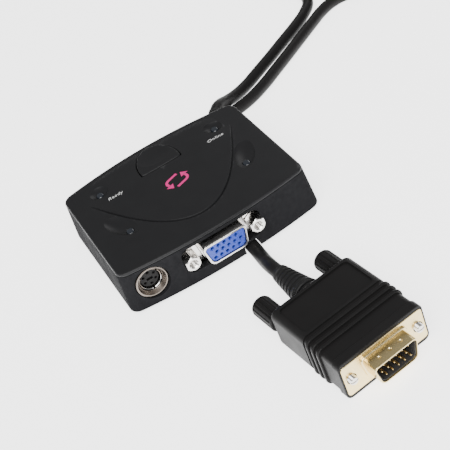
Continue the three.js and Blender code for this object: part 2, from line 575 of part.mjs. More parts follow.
add(lead, "cord_out", tube(CORD_OUT, CORD_D), SOFT_BLACK);
add(lead, "cord_back", tube(CORD_BACK, CORD_D), SOFT_BLACK);
add(lead, "cord_coil", cordCoil(), SOFT_BLACK, [...COIL_AT, 0]);
add(lead, "coil_tie", coilTie(), RUBBER, [COIL_AT[0] + COIL_R, COIL_AT[1], 0]);

plug.position.set(...PLUG_AT);
plug.rotation.z = PLUG_TURN;
const faceY = -HOOD_L - GAP;
add(plug, "plug_hood", plugHood(), SOFT_BLACK);
add(plug, "plug_relief", plugRelief(), RUBBER);
add(plug, "plug_shell", plugShell(), GOLD, [0, faceY, 0]);
add(plug, "plug_insulator", plugInsulator(), CHIP_BLACK, [0, faceY, 0]);
add(plug, "plug_pins", plugPins(), BRASS, [0, faceY, 0]);
for (const [side, word] of [[-1, "left"], [1, "right"]]) {
  add(plug, `thumbscrew_${word}`, thumbscrew(), SOFT_BLACK, [side * SCREW_SPACING / 2, 0, 0]);
}

export default group;
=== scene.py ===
# %% [markdown]
# A small two-way switch box for one screen, one keyboard and one mouse. The frame holds its measured
# bodies. This lesson dresses them: moulded black plastic, a blue video socket, a gold plug and a long
# rubber lead. Everything is in metres, and MM turns a size in millimetres into metres.

# %% Load the frame
import json
import math

import bmesh
import bpy
from mathutils import Euler, Matrix, Vector


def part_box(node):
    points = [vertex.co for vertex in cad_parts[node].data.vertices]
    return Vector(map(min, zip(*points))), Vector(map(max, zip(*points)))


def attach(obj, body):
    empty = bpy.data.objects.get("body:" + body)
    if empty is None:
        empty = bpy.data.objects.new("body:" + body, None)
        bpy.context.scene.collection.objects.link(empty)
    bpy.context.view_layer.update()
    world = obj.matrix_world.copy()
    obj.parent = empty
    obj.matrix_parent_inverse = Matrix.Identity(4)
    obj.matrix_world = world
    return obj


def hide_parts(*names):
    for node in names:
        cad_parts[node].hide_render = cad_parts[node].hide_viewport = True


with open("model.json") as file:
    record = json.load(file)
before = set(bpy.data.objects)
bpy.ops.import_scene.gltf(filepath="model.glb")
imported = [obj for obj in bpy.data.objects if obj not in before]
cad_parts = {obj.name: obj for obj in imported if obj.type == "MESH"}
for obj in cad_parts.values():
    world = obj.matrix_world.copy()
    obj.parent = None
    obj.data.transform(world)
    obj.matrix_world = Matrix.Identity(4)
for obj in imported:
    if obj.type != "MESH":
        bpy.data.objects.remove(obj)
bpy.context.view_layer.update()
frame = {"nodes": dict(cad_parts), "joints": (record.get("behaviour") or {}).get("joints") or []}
MM = 0.001

# %% [markdown]
# The camera stands in front of the box, a little to its left, and looks down at it. It is tilted, so the
# long edges climb to the right. A long lens keeps the edges nearly parallel.

# %% Camera
CASE_FOOT = Vector((0, 0.6, 1.5)) * MM
AIM = CASE_FOOT + Vector((6.8, -12.0, 0)) * MM
AZIMUTH, ELEVATION, ROLL = (math.radians(a) for a in (-12.5, 38.0, -23.1))
DISTANCE = 400 * MM
LENS = 91.9

camera = bpy.data.objects.new("camera", bpy.data.cameras.new("camera"))
bpy.context.collection.objects.link(camera)
turn = Euler((math.pi / 2 - ELEVATION, 0, AZIMUTH)).to_matrix() @ Matrix.Rotation(ROLL, 3, "Z")
camera.location = AIM + turn @ Vector((0, 0, DISTANCE))
camera.rotation_euler = turn.to_euler()
camera.data.lens = LENS
camera.data.clip_start = 0.01
bpy.context.scene.camera = camera

# %% [markdown]
# The lead is one limp rubber cord. It leaves the back wall through a strain relief, falls to the table
# and runs off to a tied coil that holds what isn't needed. From there it comes back, runs through the
# channel under the case and ends in the video plug. The loose stretches are points given one by one, and
# the coil is worked out: two layers of turns, each turn one cord's width from the next.

# %% The cord's route
CORD_D = 4.8 * MM
CORD_OUT = [
    (32.15, 40.06, 9.68), (33.1, 41.66, 9.6), (34.6, 43.6, 9.2), (36.9, 46.1, 8.0), (40.6, 49.3, 5.8),
    (46.0, 53.2, 3.6),
    (52.5, 57.2, 2.45), (60.0, 61.4, 2.45), (68.5, 66.2, 2.45), (78.0, 71.9, 2.45), (87.5, 77.6, 2.45),
    (95.5, 83.2, 2.45), (101.0, 89.4, 2.45), (103.1, 96.6, 2.45), (102.8, 104.2, 2.45),
    (102.4, 111.6, 2.45), (103.9, 119.0, 2.45),
]
CORD_BACK = [
    (135.3, 71.9, 2.45), (128.6, 73.2, 2.45), (121.8, 76.4, 2.45), (114.8, 79.6, 2.45),
    (107.8, 80.0, 2.45), (100.9, 77.6, 2.45), (94.6, 73.9, 2.45), (86.0, 68.6, 2.45),
    (76.0, 62.4, 2.45), (66.0, 56.3, 2.45), (57.0, 51.0, 2.45), (48.5, 47.2, 2.45), (40.5, 45.5, 2.45),
    (33.0, 45.6, 2.45), (26.5, 46.1, 2.45), (20.6, 46.0, 2.45), (16.0, 45.1, 2.45), (12.1, 42.5, 2.45),
    (9.5, 38.6, 2.45), (8.6, 34.0, 2.45), (8.6, 26.0, 2.45), (8.6, 12.0, 2.45), (8.6, -4.0, 2.45),
    (8.6, -20.0, 2.45), (8.6, -31.0, 2.45), (8.4, -36.5, 2.55), (7.9, -41.5, 3.9), (7.4, -46.5, 6.0),
    (7.35, -50.3, 6.95), (7.66, -53.3, 7.1),
]
COIL_AT = Vector((139.9, 108.9, 0))
COIL_OUTER, COIL_INNER = 31.8, 22.2
LOW_Z, HIGH_Z = 2.45, 7.25
TURNS = 4.726
POINTS_PER_TURN = 18
CORD_WIDTH = CORD_D / MM


def ease(t):
    t = min(max(t, 0), 1)
    return t * t * (3 - 2 * t)


def coil_point(t):
    """The point t turns into the coil: in along the lower layer, then out along the upper one."""
    start = math.atan2(CORD_OUT[-1][1] - COIL_AT.y, CORD_OUT[-1][0] - COIL_AT.x)
    angle = start - 2 * math.pi * t
    inward = COIL_OUTER - CORD_WIDTH * min(t, 2)
    radius = max(inward, COIL_INNER) + CORD_WIDTH * min(max(t - 2.4, 0), 2)
    radius += 5.5 * (1 - ease(t / 0.3)) + 5.3 * ease((t - TURNS + 0.3) / 0.3)
    z = LOW_Z + (HIGH_Z - LOW_Z) * (ease((t - 2) / 0.4) - ease((t - TURNS + 0.4) / 0.4))
    return (COIL_AT.x + radius * math.cos(angle), COIL_AT.y + radius * math.sin(angle), z)


steps = round(TURNS * POINTS_PER_TURN)
coil = [coil_point(TURNS * i / steps) for i in range(1, steps)]
route = [Vector(p) * MM for p in CORD_OUT + coil + CORD_BACK]
print("cord route", len(route), "points,",
      round(sum((b - a).length for a, b in zip(route, route[1:])), 3), "m along its chords")


# %% The cord as one curve
def smooth_curve(name, points, radius, sides=6):
    data = bpy.data.curves.new(name, "CURVE")
    data.dimensions = "3D"
    spline = data.splines.new("BEZIER")
    spline.bezier_points.add(len(points) - 1)
    for point, place in zip(spline.bezier_points, points):
        point.co = place
        point.handle_left_type = point.handle_right_type = "AUTO"
        point.radius = radius
    data.bevel_depth = 1
    data.bevel_resolution = sides
    data.resolution_u = 5
    data.use_fill_caps = True
    obj = bpy.data.objects.new(name, data)
    bpy.context.collection.objects.link(obj)
    return obj


cord = smooth_curve("lead_cord", route, CORD_D / 2)
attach(cord, "case")
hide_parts("cord_out", "cord_coil", "cord_back")

# %% [markdown]
# Most pieces here start as a box or a round bar and are shaped in edit mode, as by hand. These few
# helpers do the steps that come back again and again: adding a bar or a box at its size and place,
# choosing edges by where they lie, rounding them, and cutting one piece with another. Sizes are given in
# millimetres.

# %% Helpers: starting shapes
ALONG = {"X": (0, math.pi / 2, 0), "Y": (math.pi / 2, 0, 0), "Z": (0, 0, 0)}


def settle(name):
    """Names the new object and moves its place into its mesh."""
    obj = bpy.context.object
    obj.name = obj.data.name = name
    bpy.ops.object.transform_apply(location=True, rotation=True, scale=True)
    return obj


def block(name, low, high):
    low, high = Vector(low), Vector(high)
    bpy.ops.object.select_all(action="DESELECT")
    bpy.ops.mesh.primitive_cube_add(size=MM, location=(low + high) / 2 * MM)
    bpy.context.object.scale = high - low
    return settle(name)


def bar(name, radius, start, length, along="Y", sides=48):
    """A round bar whose low end has its middle at start."""
    middle = Vector(start) + Vector([length / 2 * (along == a) for a in "XYZ"])
    bpy.ops.object.select_all(action="DESELECT")
    bpy.ops.mesh.primitive_cylinder_add(vertices=sides, radius=radius * MM, depth=length * MM,
                                        location=middle * MM, rotation=ALONG[along])
    return settle(name)


def ball(name, radii, middle, turn=0, sides=40):
    bpy.ops.object.select_all(action="DESELECT")
    bpy.ops.mesh.primitive_uv_sphere_add(segments=sides, ring_count=sides // 2, radius=MM,
                                         location=Vector(middle) * MM, rotation=(0, 0, turn))
    bpy.context.object.scale = radii
    return settle(name)


# %% Helpers: edit mode
def take(obj):
    """Makes this the only selected object, and the active one."""
    bpy.ops.object.select_all(action="DESELECT")
    obj.select_set(True)
    bpy.context.view_layer.objects.active = obj


def choose(obj, kind, test):
    """Opens the piece in edit mode with only the corners, edges or faces whose middle passes the test."""
    take(obj)
    bpy.ops.object.mode_set(mode="EDIT")
    bpy.ops.mesh.select_mode(type=kind)
    bpy.ops.mesh.select_all(action="DESELECT")
    mesh = bmesh.from_edit_mesh(obj.data)
    items = {"VERT": mesh.verts, "EDGE": mesh.edges, "FACE": mesh.faces}[kind]
    for item in items:
        if kind == "FACE":
            middle = item.calc_center_median()
        else:
            corners = item.verts if kind == "EDGE" else [item]
            middle = sum((v.co for v in corners), Vector()) / len(corners)
        if test(middle / MM, item):
            item.select_set(True)
    bmesh.update_edit_mesh(obj.data)


def leave():
    bpy.ops.object.mode_set(mode="OBJECT")


def face_outward(obj):
    choose(obj, "FACE", lambda at, face: True)
    bpy.ops.mesh.normals_make_consistent(inside=False)
    leave()


def round_edges(obj, width, steps, test):
    choose(obj, "EDGE", test)
    bpy.ops.mesh.bevel(offset=width * MM, segments=steps, affect="EDGES", clamp_overlap=True)
    leave()


def level(edge, axes):
    """True where both ends of the edge have the same place on each of the axes."""
    a, b = (v.co for v in edge.verts)
    return all(abs(a["XYZ".index(axis)] - b["XYZ".index(axis)]) < 1e-6 for axis in axes)


def upright(at, edge):
    return level(edge, "XY")


def lengthwise(at, edge):
    return level(edge, "XZ")


def slice_across(obj, normal, places):
    """Cuts extra edges across the piece, one at each place along the normal."""
    for place in places:
        choose(obj, "FACE", lambda at, face: True)
        bpy.ops.mesh.bisect(plane_co=Vector(normal) * place * MM, plane_no=normal)
        leave()


# %% Helpers: joining, cutting and finishing
def apply_modifier(obj, kind, **settings):
    take(obj)
    modifier = obj.modifiers.new(kind.lower(), kind)
    for key, value in settings.items():
        setattr(modifier, key, value)
    bpy.ops.object.modifier_apply(modifier=modifier.name)


def carve(obj, *tools, how="DIFFERENCE"):
    for tool in tools:
        apply_modifier(obj, "BOOLEAN", object=tool, operation=how, solver="EXACT")
        bpy.data.objects.remove(tool)
    return obj


def join(*pieces):
    """Puts loose pieces into the first one's mesh."""
    bpy.ops.object.select_all(action="DESELECT")
    for piece in pieces:
        piece.select_set(True)
    bpy.context.view_layer.objects.active = pieces[0]
    bpy.ops.object.join()
    return pieces[0]


def finish(obj, body, slot, finish_material, *nodes, angle=32):
    """Shades a piece, gives it its finish, and says what it rides on and which nodes it stands for."""
    take(obj)
    bpy.ops.object.shade_smooth_by_angle(angle=math.radians(angle))
    apply_modifier(obj, "WEIGHTED_NORMAL", keep_sharp=True)
    obj.data.materials.clear()
    obj.data.materials.append(finish_material)
    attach(obj, body)
    if nodes:
        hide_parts(*nodes)
    print(obj.name, len(obj.data.polygons), "faces on", body)


def middle_of(node):
    low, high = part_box(node)
    return (Vector(low) + Vector(high)) / 2 / MM


def low_of(node):
    return Vector(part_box(node)[0]) / MM


def high_of(node):
    return Vector(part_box(node)[1]) / MM


# %% [markdown]
# Everything black here is moulded, and no two blacks are the same: the lid is fine satin, the walls are
# matte and get a darker copy of the black with almost no reflection, a painted shade that keeps them dark,
# the plug's hood is softer, the rubber is dull. Three node groups carry what they share. One gives a fine
# grain and an uneven gloss, one mottles a colour very slightly, and one lightens the colour along convex
# edges, a painted sheen on the black mouldings that stands in for the light their rounded edges catch.

# %% Shared effects
def new_group(name, inputs, outputs):
    tree = bpy.data.node_groups.new(name, "ShaderNodeTree")
    for label, kind, value in inputs:
        socket = tree.interface.new_socket(label, in_out="INPUT", socket_type=kind)
        if value is not None:
            socket.default_value = value
    for label, kind in outputs:
        tree.interface.new_socket(label, in_out="OUTPUT", socket_type=kind)
    return tree, tree.nodes.new("NodeGroupInput"), tree.nodes.new("NodeGroupOutput")


def node(tree, kind, links=(), **values):
    """Adds a node, sets its properties and sockets, and links other sockets into it."""
    made = tree.nodes.new(kind)
    for key, value in values.items():
        if key in made.inputs:
            made.inputs[key].default_value = value
        else:
            setattr(made, key, value)
    for socket, source in dict(links).items():
        tree.links.new(source, made.inputs[socket])
    return made


FLOAT, COLOUR, VECTOR = "NodeSocketFloat", "NodeSocketColor", "NodeSocketVector"

grain, given, out = new_group(
    "moulded_grain",
    [("Place", VECTOR, None), ("Grain", FLOAT, 2000), ("Smears", FLOAT, 90), ("Low gloss", FLOAT, 0.35),
     ("High gloss", FLOAT, 0.5)],
    [("Roughness", FLOAT), ("Height", FLOAT)])
fine = node(grain, "ShaderNodeTexNoise", {"Vector": given.outputs["Place"], "Scale": given.outputs["Grain"]},
            Detail=2.0)
smears = node(grain, "ShaderNodeTexNoise",
              {"Vector": given.outputs["Place"], "Scale": given.outputs["Smears"]}, Detail=3.0)
spread = node(grain, "ShaderNodeMapRange",
              {"Value": smears.outputs["Fac"], "To Min": given.outputs["Low gloss"],
               "To Max": given.outputs["High gloss"]}, **{"From Min": 0.35, "From Max": 0.65})
grain.links.new(spread.outputs["Result"], out.inputs["Roughness"])
grain.links.new(fine.outputs["Fac"], out.inputs["Height"])

mottle, given, out = new_group(
    "slight_mottle",
    [("Place", VECTOR, None), ("Colour", COLOUR, (0, 0, 0, 1)), ("Second colour", COLOUR, (0, 0, 0, 1)),
     ("Patches", FLOAT, 120)],
    [("Colour", COLOUR)])
patches = node(mottle, "ShaderNodeTexNoise",
               {"Vector": given.outputs["Place"], "Scale": given.outputs["Patches"]}, Detail=4.0)
blend = node(mottle, "ShaderNodeMix", data_type="RGBA")
mottle.links.new(patches.outputs["Fac"], blend.inputs["Factor"])
mottle.links.new(given.outputs["Colour"], blend.inputs[6])
mottle.links.new(given.outputs["Second colour"], blend.inputs[7])
mottle.links.new(blend.outputs[2], out.inputs["Colour"])

wear_and_sheen_tree, given, out = new_group(
    "edge_wear_and_painted_sheen",
    [("Place", VECTOR, None), ("Colour", COLOUR, (0, 0, 0, 1)), ("Wear and sheen colour", COLOUR, (0.1, 0.1, 0.1, 1)),
     ("Amount", FLOAT, 0.5)],
    [("Colour", COLOUR)])
# Convex edges get a lighter colour: on the black mouldings this is a painted sheen standing in for the
# highlight along rounded edges.
shape = node(wear_and_sheen_tree, "ShaderNodeNewGeometry")
edge = node(wear_and_sheen_tree, "ShaderNodeMapRange", {"Value": shape.outputs["Pointiness"]},
            **{"From Min": 0.52, "From Max": 0.62})
edge_patches = node(wear_and_sheen_tree, "ShaderNodeTexNoise", {"Vector": given.outputs["Place"]}, Scale=700.0, Detail=3.0)
patchy = node(wear_and_sheen_tree, "ShaderNodeMath", {0: edge.outputs["Result"], 1: edge_patches.outputs["Fac"]},
              operation="MULTIPLY")
amount = node(wear_and_sheen_tree, "ShaderNodeMath", {0: patchy.outputs["Value"], 1: given.outputs["Amount"]},
              operation="MULTIPLY")
blend = node(wear_and_sheen_tree, "ShaderNodeMix", data_type="RGBA")
wear_and_sheen_tree.links.new(amount.outputs["Value"], blend.inputs["Factor"])
wear_and_sheen_tree.links.new(given.outputs["Colour"], blend.inputs[6])
wear_and_sheen_tree.links.new(given.outputs["Wear and sheen colour"], blend.inputs[7])
wear_and_sheen_tree.links.new(blend.outputs[2], out.inputs["Colour"])
print("effects", [tree.name for tree in bpy.data.node_groups])


# %% One recipe, many finishes
def placed_group(tree, group, links=(), **values):
    made = tree.nodes.new("ShaderNodeGroup")
    made.node_tree = group
    for key, value in values.items():
        made.inputs[key].default_value = value
    for socket, source in dict(links).items():
        tree.links.new(source, made.inputs[socket])
    return made


def material(name, colour, second, gloss, grain_size=2000, bump=0.0, metal=0.0, wear_and_sheen_colour=None, amount=0.5,
             patches=120, smears=90, **sockets):
    """A finish: two close colours, a range of roughness, a grain, and convex edges lightened to another
    colour, a painted sheen on the black plastics.
    """
    made = bpy.data.materials.new(name)
    made.use_nodes = True
    tree = made.node_tree
    shader = tree.nodes["Principled BSDF"]
    place = node(tree, "ShaderNodeMapping", {"Vector": node(tree, "ShaderNodeTexCoord").outputs["Object"]})
    where = place.outputs["Vector"]
    colours = placed_group(tree, mottle, {"Place": where}, Colour=(*colour, 1), Patches=patches,
                           **{"Second colour": (*second, 1)})
    last = colours.outputs["Colour"]
    if wear_and_sheen_colour:
        edges = placed_group(tree, wear_and_sheen_tree, {"Place": where, "Colour": last}, Amount=amount,
                             **{"Wear and sheen colour": (*wear_and_sheen_colour, 1)})
        last = edges.outputs["Colour"]
    tree.links.new(last, shader.inputs["Base Color"])
    surface = placed_group(tree, grain, {"Place": where}, Grain=grain_size, Smears=smears,
                           **{"Low gloss": gloss[0], "High gloss": gloss[1]})
    tree.links.new(surface.outputs["Roughness"], shader.inputs["Roughness"])
    if bump:
        relief = node(tree, "ShaderNodeBump", {"Height": surface.outputs["Height"]}, Strength=bump,
                      Distance=0.05 * MM)
        tree.links.new(relief.outputs["Normal"], shader.inputs["Normal"])
    shader.inputs["Metallic"].default_value = metal
    for key, value in sockets.items():
        shader.inputs[key.replace("_", " ")].default_value = value
    return made


# The lighter edge colours of the three blacks paint a sheen along their rounded edges instead of lighting it.
satin_black = material("satin_black_case", (0.011, 0.011, 0.012), (0.015, 0.015, 0.016), (0.38, 0.46), 3200,
                       0.25, wear_and_sheen_colour=(0.075, 0.075, 0.078), amount=0.75, Specular_IOR_Level=0.17)
# The walls' black is a darker copy of the case black with almost no specular reflection: painted shade that
# keeps the side walls dark.
shaded_wall_black = material("shaded_matte_black_wall", (0.008, 0.008, 0.009), (0.012, 0.012, 0.013), (0.48, 0.58), 3200,
                      0.3, wear_and_sheen_colour=(0.04, 0.04, 0.042), amount=0.6, Specular_IOR_Level=0.004)
soft_black = material("soft_black_vinyl", (0.008, 0.008, 0.008), (0.012, 0.011, 0.011), (0.4, 0.5), 2400,
                      0.25, wear_and_sheen_colour=(0.03, 0.03, 0.03), Specular_IOR_Level=0.12)
rubber = material("dull_rubber", (0.008, 0.008, 0.008), (0.012, 0.012, 0.012), (0.52, 0.64), 1800, 0.4,
                  Specular_IOR_Level=0.25)
nickel = material("bright_nickel", (0.78, 0.76, 0.73), (0.7, 0.68, 0.66), (0.16, 0.28), 2600, 0.08, 1.0,
                  wear_and_sheen_colour=(0.9, 0.88, 0.84))
gold = material("gold_flash", (0.83, 0.68, 0.36), (0.76, 0.6, 0.3), (0.2, 0.32), 2600, 0.08, 1.0,
                wear_and_sheen_colour=(0.93, 0.84, 0.6))
brass = material("pin_brass", (0.8, 0.6, 0.28), (0.7, 0.52, 0.24), (0.2, 0.32), 2600, 0.05, 1.0)
bezel_grey = material("bezel_grey_metal", (0.22, 0.19, 0.165), (0.18, 0.155, 0.135), (0.3, 0.42), 2200, 0.12,
                      1.0, wear_and_sheen_colour=(0.4, 0.36, 0.32))
steel = material("zinc_steel", (0.48, 0.49, 0.5), (0.38, 0.39, 0.4), (0.28, 0.42), 2200, 0.12, 1.0)
port_blue = material("port_blue_nylon", (0.018, 0.045, 0.33), (0.024, 0.054, 0.38), (0.38, 0.5), 2400, 0.2)
board_green = material("board_green", (0.012, 0.09, 0.035), (0.02, 0.14, 0.055), (0.28, 0.4), 900, 0.3,
                       patches=500)
chip_black = material("chip_black", (0.016, 0.016, 0.017), (0.026, 0.026, 0.027), (0.5, 0.62), 2600, 0.3)
lens_smoke = material("smoked_lens", (0.004, 0.007, 0.012), (0.008, 0.012, 0.02), (0.06, 0.12), 900, 0.0,
                      Coat_Weight=0.6)
led_clear = material("led_resin", (0.3, 0.62, 0.22), (0.4, 0.7, 0.3), (0.1, 0.2), 900)
white_nylon = material("white_nylon", (0.72, 0.69, 0.6), (0.66, 0.62, 0.54), (0.42, 0.55), 2000, 0.2)
can_aluminium = material("can_aluminium", (0.66, 0.67, 0.69), (0.58, 0.59, 0.61), (0.26, 0.38), 1500, 0.15,
                         1.0)
label_white = material("printed_white", (0.75, 0.75, 0.74), (0.7, 0.7, 0.69), (0.5, 0.6), 2600, 0.05)
mark_pink = material("printed_pink", (0.78, 0.025, 0.24), (0.72, 0.02, 0.22), (0.42, 0.52), 2600, 0.05)
print("finishes", len(bpy.data.materials))

# %% [markdown]
# The pieces inside the box, and the bare fasteners, keep the shapes they were measured with. They only
# get their finishes: green lacquered board, black moulded chips, clear lamps, aluminium cans.

# %% Finishes for the pieces inside
INSIDE = {
    board_green: ["circuit_board"],
    chip_black: ["switching_chip", "video_chip", "memory_chip", "switch_body", "video_socket_body",
                 "mini_din_housing"],
    soft_black: ["switch_plunger", "inner_lead"],
    steel: [f"case_screw_{number}" for number in (1, 2, 3, 4)] + ["board_screw_1", "board_screw_2"],
    led_clear: ["power_led", "active_led", "port_one_led", "port_two_led"],
    white_nylon: ["lead_header"],
    can_aluminium: ["crystal", "capacitor_1", "capacitor_2"],
}
for look, names in INSIDE.items():
    for name in names:
        frame["nodes"][name].data.materials.clear()
        frame["nodes"][name].data.materials.append(look)
print("dressed", sum(len(names) for names in INSIDE.values()), "inner pieces")

# %% [markdown]
# The case has straight ends and long sides that swell out, more at the back than at the front. Its
# outline starts as a plain block: the four upright corners are rounded, the block is sliced across so
# that it can bend, and its long sides are then pushed out along a parabola.

# %% The swollen case block
lid_low, lid_high = low_of("top_lid"), high_of("top_lid")
CASE_W = lid_high.x - lid_low.x
BOW_FRONT, BOW_BACK = 3.2, 4.2
CASE_D = lid_high.y - lid_low.y - BOW_FRONT - BOW_BACK
MIDDLE_Y = (lid_low.y + BOW_FRONT + lid_high.y - BOW_BACK) / 2
BOTTOM_Z = low_of("lower_shell").z
SEAM_Z = high_of("lower_shell").z + 0.3
TOP_Z = SEAM_Z + 1
PANEL_Z = lid_high.z
DRAFT = 1.1
WALL = 1.8


def bulge(x, half, rise):
    return rise * max(0, 1 - (x / half) ** 2)


def case_block(name, inset, z0, z1, rim=0, rows=0):
    """The case's outline, inset all round, between two heights, with its top edge rounded by rim.

    rows adds that many slices the other way, which keeps the shading even round later cuts.
    """
    w, d = CASE_W / 2 - inset, CASE_D / 2 - inset
    body = block(name, (-w, -d, z0), (w, d, z1))
    round_edges(body, max(3 - inset / 2, 1), 7, upright)
    slice_across(body, (1, 0, 0), [w * i / 17 for i in range(-15, 16)])
    slice_across(body, (0, 1, 0), [(d - 3) * (2 * i / (rows + 1) - 1) for i in range(1, rows + 1)])
    for corner in body.data.vertices:
        x, y = corner.co.x / MM, corner.co.y / MM
        rise = BOW_BACK if y > 0 else BOW_FRONT
        corner.co.y += (y / d * bulge(x, w, rise) + MIDDLE_Y) * MM
    if rim:
        round_edges(body, rim, 5, lambda at, edge: at.z > z1 - 0.01 and len(edge.link_faces) == 2
                    and any(abs(face.normal.z) < 0.5 for face in edge.link_faces))
    return body


print("case", round(CASE_W, 2), "x", round(CASE_D, 2), "top", round(TOP_Z, 2))

# %% [markdown]
# The lid carries a raised panel that narrows to a curved point between the ports. The panel is a grid
# whose front rows follow the curve, so that its step can be a crisp, slightly rounded edge. Towards the
# back corners the panel sinks into the lid, as a moulding does where two surfaces run together.

# %% The lid's blank and its scooped dimples
LENSES = {name: middle_of(name + "_lens") for name in ("power", "active", "port_one", "port_two")}
lid = case_block("lid_moulding", 0, SEAM_Z, TOP_Z, rim=0.75, rows=21)
tongue = case_block("tongue", WALL + 0.3, TOP_Z - 1.8, SEAM_Z + 0.2)
carve(lid, tongue, how="UNION")


def scoop(at, width, length, depth, top, turn=0):
    """A shallow egg-shaped bowl with soft shoulders, as wide and long as asked where it meets the top."""
    above = depth * 1.3
    share = math.sqrt(1 - (above / (above + depth)) ** 2)
    return ball("scoop", (width / 2 / share, length / 2 / share, above + depth),
                (at[0], at[1], top + above), turn)


for name in ("port_one", "port_two"):
    at = LENSES[name]
    side = math.copysign(1, at.x)
    carve(lid, scoop((at.x + side * 1.5, at.y + 3.9), 7.8, 16, 1.4, TOP_Z, -side * 0.42))
print("scoops beside", [tuple(round(v, 1) for v in LENSES[n][:2]) for n in ("port_one", "port_two")])

# %% The raised panel
PANEL_HALF_W = 29
PANEL_FRONT = -CASE_D / 2 + 7 + MIDDLE_Y
PANEL_BACK = CASE_D / 2 - 12.5 + MIDDLE_Y


def curve_y(x):
    return PANEL_FRONT + (PANEL_BACK - PANEL_FRONT) * (x / PANEL_HALF_W) ** 2


def back_y(x):
    return MIDDLE_Y + CASE_D / 2 + bulge(x, CASE_W / 2, BOW_BACK)


def slant(x):
    return math.sqrt(1 + (2 * (PANEL_BACK - PANEL_FRONT) * x / PANEL_HALF_W ** 2) ** 2)


def fade(x, y):
    """1 on the open panel, 0 where it has sunk away at the back corners and along the back rim."""
    corner = ease((y - MIDDLE_Y - 7) / 12) * ease((abs(x) - 19) / 10)
    rim = ease((y - back_y(x) + 4.5) / 3)
    return (1 - corner) * (1 - rim)


def curved_sheet(name, edge_rows, rows, surface, far_z):
    """A solid along the panel's curve, from surface(x, y, share) to far_z.

    edge_rows holds (distance in from the curve, share of the height); rows more rows run to the back.
    """
    total = len(edge_rows) - 1 + rows
    bpy.ops.object.select_all(action="DESELECT")
    bpy.ops.mesh.primitive_grid_add(x_subdivisions=72, y_subdivisions=total, size=MM)
    sheet = settle(name)
    for corner in sheet.data.vertices:
        x = corner.co.x / MM * 2 * PANEL_HALF_W
        row = round((corner.co.y / MM + 0.5) * total)
        inward, share = edge_rows[min(row, len(edge_rows) - 1)]
        stop = back_y(x) - 1.0
        y = min(curve_y(x) + inward * slant(x), stop - 0.5)
        if row >= len(edge_rows):
            y += (stop - y) * (row - len(edge_rows) + 1) / rows
        corner.co = Vector((x, y, surface(x, y, share))) * MM
    choose(sheet, "FACE", lambda at, face: True)
    bpy.ops.mesh.extrude_region_move()
    leave()
    for corner in sheet.data.vertices:
        if corner.select:
            corner.co.z = far_z * MM
    face_outward(sheet)
    return sheet


STEP = PANEL_Z - TOP_Z
panel = curved_sheet(
    "panel", [(0, 0), (0.03, 0.45), (0.1, 0.75), (0.22, 0.93), (0.4, 1)], 26,
    lambda x, y, share: TOP_Z - 0.06 + (STEP + 0.06) * share * fade(x, y), TOP_Z - 0.8)
groove = curved_sheet("groove", [(-0.5, 0), (-0.08, 0)], 0,
                      lambda x, y, share: TOP_Z + 0.02 - 0.32 * fade(x, y), TOP_Z + 1)
carve(lid, groove)
carve(lid, panel, how="UNION")
for name in ("power", "active"):
    carve(lid, scoop((LENSES[name].x, LENSES[name].y + 0.6), 7.6, 7.6, 1.35, PANEL_Z))
print("lid so far", len(lid.data.polygons), "faces")

# %% [markdown]
# The select button is a plain cap with a straight front and a domed back, like a capital D on its back.
# The same outline, a little larger, cuts its well through the lid, so that the dark gap round the button
# is even. The outline is a round bar whose corners are moved onto the D.

# %% The button and its well
button_low, button_high = low_of("select_button"), high_of("select_button")
BUTTON_W, BUTTON_D = 16, 14.5
BUTTON_Y = middle_of("switch_body").y


def d_bar(name, grow, z0, z1, flare_z=None, corner_power=0.3):
    """A bar with the button's outline, which widens above flare_z as a chamfer does."""
    piece = bar(name, 10, (0, 0, z0), z1 - z0, "Z", 120)
    if flare_z:
        slice_across(piece, (0, 0, 1), [flare_z])
    for corner in piece.data.vertices:
        angle = math.atan2(corner.co.y, corner.co.x)
        more = grow + (max(0, corner.co.z / MM - flare_z) if flare_z else 0)
        w, front, back = BUTTON_W / 2 + more, -BUTTON_D / 2 - more, BUTTON_D / 2 + more
        across, along = math.cos(angle), math.sin(angle)
        if along >= 0:
            x, y = w * across, front + 2.2 + (back - front - 2.2) * along
        else:
            x = math.copysign(w * abs(across) ** corner_power, across)
            y = front + 2.2 - 2.2 * abs(along) ** corner_power
        corner.co.x, corner.co.y = x * MM, (y + BUTTON_Y) * MM
    return piece


carve(lid, d_bar("well", 0.3, TOP_Z - 5, PANEL_Z + 0.5, PANEL_Z - 0.3))
button = d_bar("select_cap", 0, TOP_Z - 1.8, button_high.z)
round_edges(button, 0.5, 4, lambda at, edge: at.z > button_high.z - 0.01)
carve(button, scoop((0, BUTTON_Y + 0.3), 13, 10.5, 0.3, button_high.z))
skirt = d_bar("skirt", 0.8, TOP_Z - 3.3, TOP_Z - 2.1)
carve(button, skirt, bar("stem", 1.8, (0, BUTTON_Y, button_low.z), TOP_Z - 2 - button_low.z, "Z", 24),
      how="UNION")
finish(button, "button", "case_black", satin_black, "select_button")

# %% [markdown]
# Four small windows let the lamps show: two in round dimples on the panel, and two at the ends of the
# long scoops. Each window is a smoked plastic pill that stands in an oval hole.

# %% The windows
def pill(name, at, grow, z0, z1):
    reach = Vector((1.3 + grow, 1.6 + grow))
    piece = block(name, (*(at.xy - reach), z0), (*(at.xy + reach), z1))
    round_edges(piece, 1.2 + grow, 6, upright)
    return piece


for name, at in LENSES.items():
    floor_z = (PANEL_Z if at.y > 0 else TOP_Z) - 0.95
    carve(lid, pill("hole", at, 0.15, 0, 40))
    window = pill(name + "_window", at, 0, low_of(name + "_lens").z, floor_z + 0.25)
    round_edges(window, 0.45, 4, lambda spot, edge: spot.z > floor_z + 0.24)
    finish(window, "case", "lens_dark", lens_smoke, name + "_lens")

